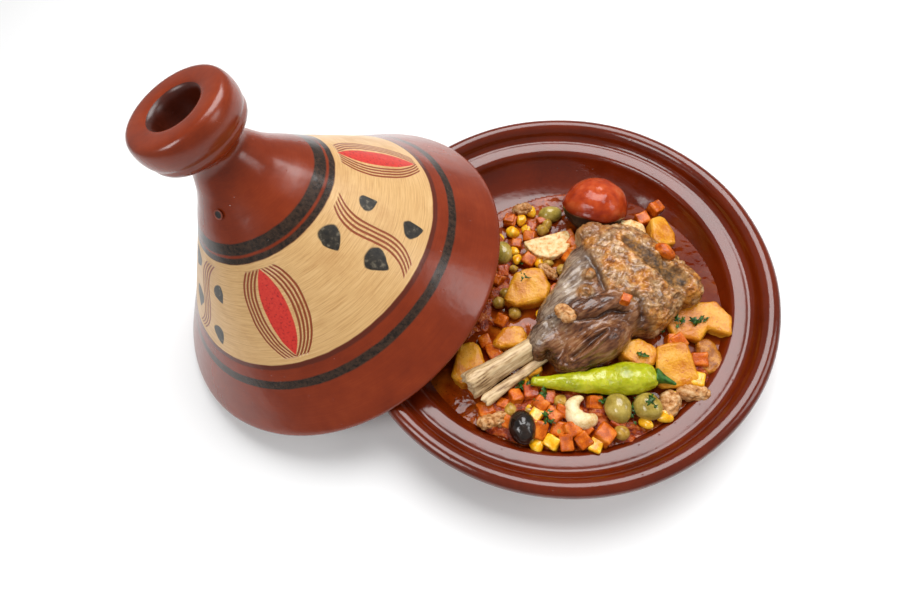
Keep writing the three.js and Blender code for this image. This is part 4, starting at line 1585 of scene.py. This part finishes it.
def stewed_mix():
    """Onion and tomato cooked down to a wet, lumpy mash, darker in the hollows between the lumps."""
    material, tree = new_material("stewed_onion_and_tomato")
    place = place_of(tree)
    lumps = speckle(tree, place, 6, 4)
    fine = speckle(tree, place, 2.0, 4)
    tone = maths(tree, "ADD", maths(tree, "MULTIPLY", lumps, 0.6), maths(tree, "MULTIPLY", fine, 0.4))
    # The colour follows the relief, so the darkest stop lies in the hollows between the lumps.
    colour = ramp(tree, tone, [(0.34, 0x46100A), (0.44, 0x7A240A), (0.54, 0xA84414), (0.66, 0xCB7A36)])
    height = maths(tree, "ADD", lumps, maths(tree, "MULTIPLY", fine, 0.5))
    close(tree, colour, 0.14, bumped(tree, height, 2.0, 0.9), IOR=1.37)
    return material


class TAGINE_OT_beds(bpy.types.Operator):
    """Makes the lumpy mash that the diced vegetables lie on"""

    bl_idname = "tagine.beds"
    bl_label = "Beds"

    def execute(self, context):
        material = stewed_mix()
        for seed, (node, ((x, y), half, turn)) in enumerate(BEDS.items()):
            bm = ball([h * MM for h in half], 120, 40)
            moved(bm, placed(on_stew(x, y, 0), (0, 0, turn)))
            roughened(bm, 9 * MM, 3.2 * MM, seed + 2, octaves=3)
            roughened(bm, 3.5 * MM, 1.0 * MM, seed + 5)
            for v in bm.verts:
                reach = math.hypot(v.co.x, v.co.y)
                limit = wall_radius(max(v.co.z, 7 * MM)) + 1.5 * MM
                if reach > limit:
                    v.co.x *= limit / reach
                    v.co.y *= limit / reach
            piece(node.replace("heap", "mash"), bm, [material], [node])
        return {"FINISHED"}


# Torn parsley: plan place and how high it lies above the stew, in millimetres.
HERBS = (
    (74, -26, 5), (78, -28, 6), (71, -29, 4), (96, -23, 11), (102, -20, 11), (87, -24, 11), (62, -50, 12),
    (57, -89, 8), (59, -84, 7), (56, -95, 6), (-16, -79, 9), (-11, -81, 8), (-2, -88, 12), (0, -85, 12),
    (-6, -74, 9), (2, -97, 13), (4, -103, 12), (-18, 3, 17), (37, -84, 9), (-22, 24, 4), (68, -84, 16),
)


def parsley_leaf(seed):
    """A torn scrap of parsley: a thin, lobed, curled leaf."""
    rand = random.Random(seed)
    bm = bmesh.new()
    bmesh.ops.create_circle(bm, cap_ends=True, cap_tris=True, segments=15, radius=1 * MM)
    for v in bm.verts:
        turn = math.atan2(v.co.y, v.co.x)
        lobe = 1 + 0.45 * math.cos(5 * turn + rand.uniform(-0.2, 0.2))
        v.co.x *= lobe * 1.5
        v.co.y *= lobe
        v.co.z = 0.35 * v.co.x * math.sin(turn * 2) + 0.2 * abs(v.co.x)
    bmesh.ops.solidify(bm, geom=bm.faces[:], thickness=0.12 * MM)
    return meshed(bm, "leaf")


class TAGINE_OT_herbs(bpy.types.Operator):
    """Scatters torn parsley over the vegetables"""

    bl_idname = "tagine.herbs"
    bl_label = "Herbs"

    def execute(self, context):
        rand = random.Random(11)
        bm = bmesh.new()
        shapes = [parsley_leaf(seed) for seed in range(3)]
        for x, y, lift in HERBS:
            for _ in range(4):
                at = on_stew(x + rand.gauss(0, 1.7), y + rand.gauss(0, 1.5), lift + rand.uniform(-0.4, 0.8))
                turn = (rand.uniform(-35, 35), rand.uniform(-35, 35), rand.uniform(0, 360))
                size = rand.uniform(0.8, 2.0)
                stamp(bm, shapes[rand.randrange(3)], placed(at, turn, (size, size, size)))
        for shape in shapes:
            bpy.data.meshes.remove(shape)
        piece("parsley", bm, [leafy("torn_parsley", 0x0C2806, 0x3C6A14, 2)])
        return {"FINISHED"}


# ---- Stage ----


class StageSettings(bpy.types.PropertyGroup):
    floor: bpy.props.FloatVectorProperty(
        name="Floor", description="Colour of the floor", subtype="COLOR", size=4, min=0, max=1,
        default=linear(0xF6F6F6),
    )
    light: bpy.props.FloatProperty(
        name="Light", description="Strength of all the lamps together", default=1.0, min=0,
    )


class TAGINE_OT_stage(bpy.types.Operator):
    """Makes the floor, the lamps, the pale surroundings and the camera"""

    bl_idname = "tagine.stage"
    bl_label = "Stage"

    def execute(self, context):
        settings = context.scene.tagine_stage
        bm = bmesh.new()
        bmesh.ops.create_grid(bm, x_segments=1, y_segments=1, size=3)
        floor = bpy.data.objects.new("floor", meshed(bm, "floor"))
        context.scene.collection.objects.link(floor)
        material, tree = new_material("white_table")
        close(tree, tuple(settings.floor), 0.9)
        floor.data.materials.append(material)
        self.lamp("top_softbox", (0.08, 0.52, 1.05), (0.02, 0.0, 0.03), 0.86, 15.5 * settings.light)
        self.lamp("front_softbox", (-0.8, -0.8, 1.2), (0.0, -0.02, 0.03), 0.6, 8.5 * settings.light)
        self.lamp("right_softbox", (1.1, 0.1, 0.8), (0.0, 0.0, 0.03), 0.5, 3 * settings.light)
        world = bpy.data.worlds.new("pale_room")
        world.use_nodes = True
        world.node_tree.nodes["Background"].inputs["Color"].default_value = linear(0xFFFFFF)
        world.node_tree.nodes["Background"].inputs["Strength"].default_value = 0.29
        context.scene.world = world
        context.scene.view_settings.view_transform = "Standard"
        self.camera(context.scene)
        return {"FINISHED"}

    def lamp(self, name, at, aim, size, power):
        data = bpy.data.lights.new(name, "AREA")
        data.size = size
        data.energy = power
        lamp = bpy.data.objects.new(name, data)
        lamp.location = at
        lamp.rotation_euler = (Vector(at) - Vector(aim)).to_track_quat("Z", "Y").to_euler()
        bpy.context.scene.collection.objects.link(lamp)

    def camera(self, scene):
        """Looks steeply down over the lid's front, turned a little about its own axis."""
        data = bpy.data.cameras.new("camera")
        data.sensor_width = 36
        data.lens = 20.74
        data.clip_start = 0.01
        camera = bpy.data.objects.new("camera", data)
        back = Vector((0.16805, -0.42384, 0.89001)).normalized()
        turn = back.to_track_quat("Z", "Y")
        level_up = turn @ Vector((0, 1, 0))
        up = Vector((-0.08541, 0.89319, 0.44149))
        roll = math.atan2(level_up.cross(up).dot(back), level_up.dot(up))
        camera.rotation_euler = (Quaternion(back, roll) @ turn).to_euler()
        camera.location = (-0.008387, -0.184005, 0.373004)
        scene.collection.objects.link(camera)
        scene.camera = camera


# ---- Add-on ----

SETTINGS = {
    "tagine_dish": DishSettings,
    "tagine_lid": LidSettings,
    "tagine_sauce": SauceSettings,
    "tagine_shank": ShankSettings,
    "tagine_potatoes": PotatoSettings,
    "tagine_stage": StageSettings,
}
OPERATORS = (
    TAGINE_OT_dish, TAGINE_OT_lid, TAGINE_OT_sauce, TAGINE_OT_beds, TAGINE_OT_meat, TAGINE_OT_bones,
    TAGINE_OT_chilli, TAGINE_OT_tomato, TAGINE_OT_olives, TAGINE_OT_potatoes, TAGINE_OT_nuts,
    TAGINE_OT_diced, TAGINE_OT_herbs, TAGINE_OT_stage,
)


class TAGINE_PT_panel(bpy.types.Panel):
    """Lists the sizes and colours, and the operators that make each piece"""

    bl_idname = "TAGINE_PT_panel"
    bl_label = "Lamb shank tagine"
    bl_space_type = "VIEW_3D"
    bl_region_type = "UI"
    bl_category = "Tagine"

    def draw(self, context):
        for name, group in SETTINGS.items():
            settings = getattr(context.scene, name)
            for key in group.__annotations__:
                self.layout.prop(settings, key)
        for operator in OPERATORS:
            self.layout.operator(operator.bl_idname)


def register():
    for kind in (*SETTINGS.values(), *OPERATORS, TAGINE_PT_panel):
        bpy.utils.register_class(kind)
    for name, group in SETTINGS.items():
        setattr(bpy.types.Scene, name, bpy.props.PointerProperty(type=group))


def unregister():
    for name in SETTINGS:
        delattr(bpy.types.Scene, name)
    for kind in (TAGINE_PT_panel, *reversed(OPERATORS), *SETTINGS.values()):
        bpy.utils.unregister_class(kind)


def main():
    register()
    for operator in OPERATORS:
        group, name = operator.bl_idname.split(".")
        getattr(getattr(bpy.ops, group), name)()


if __name__ == "__main__":
    main()
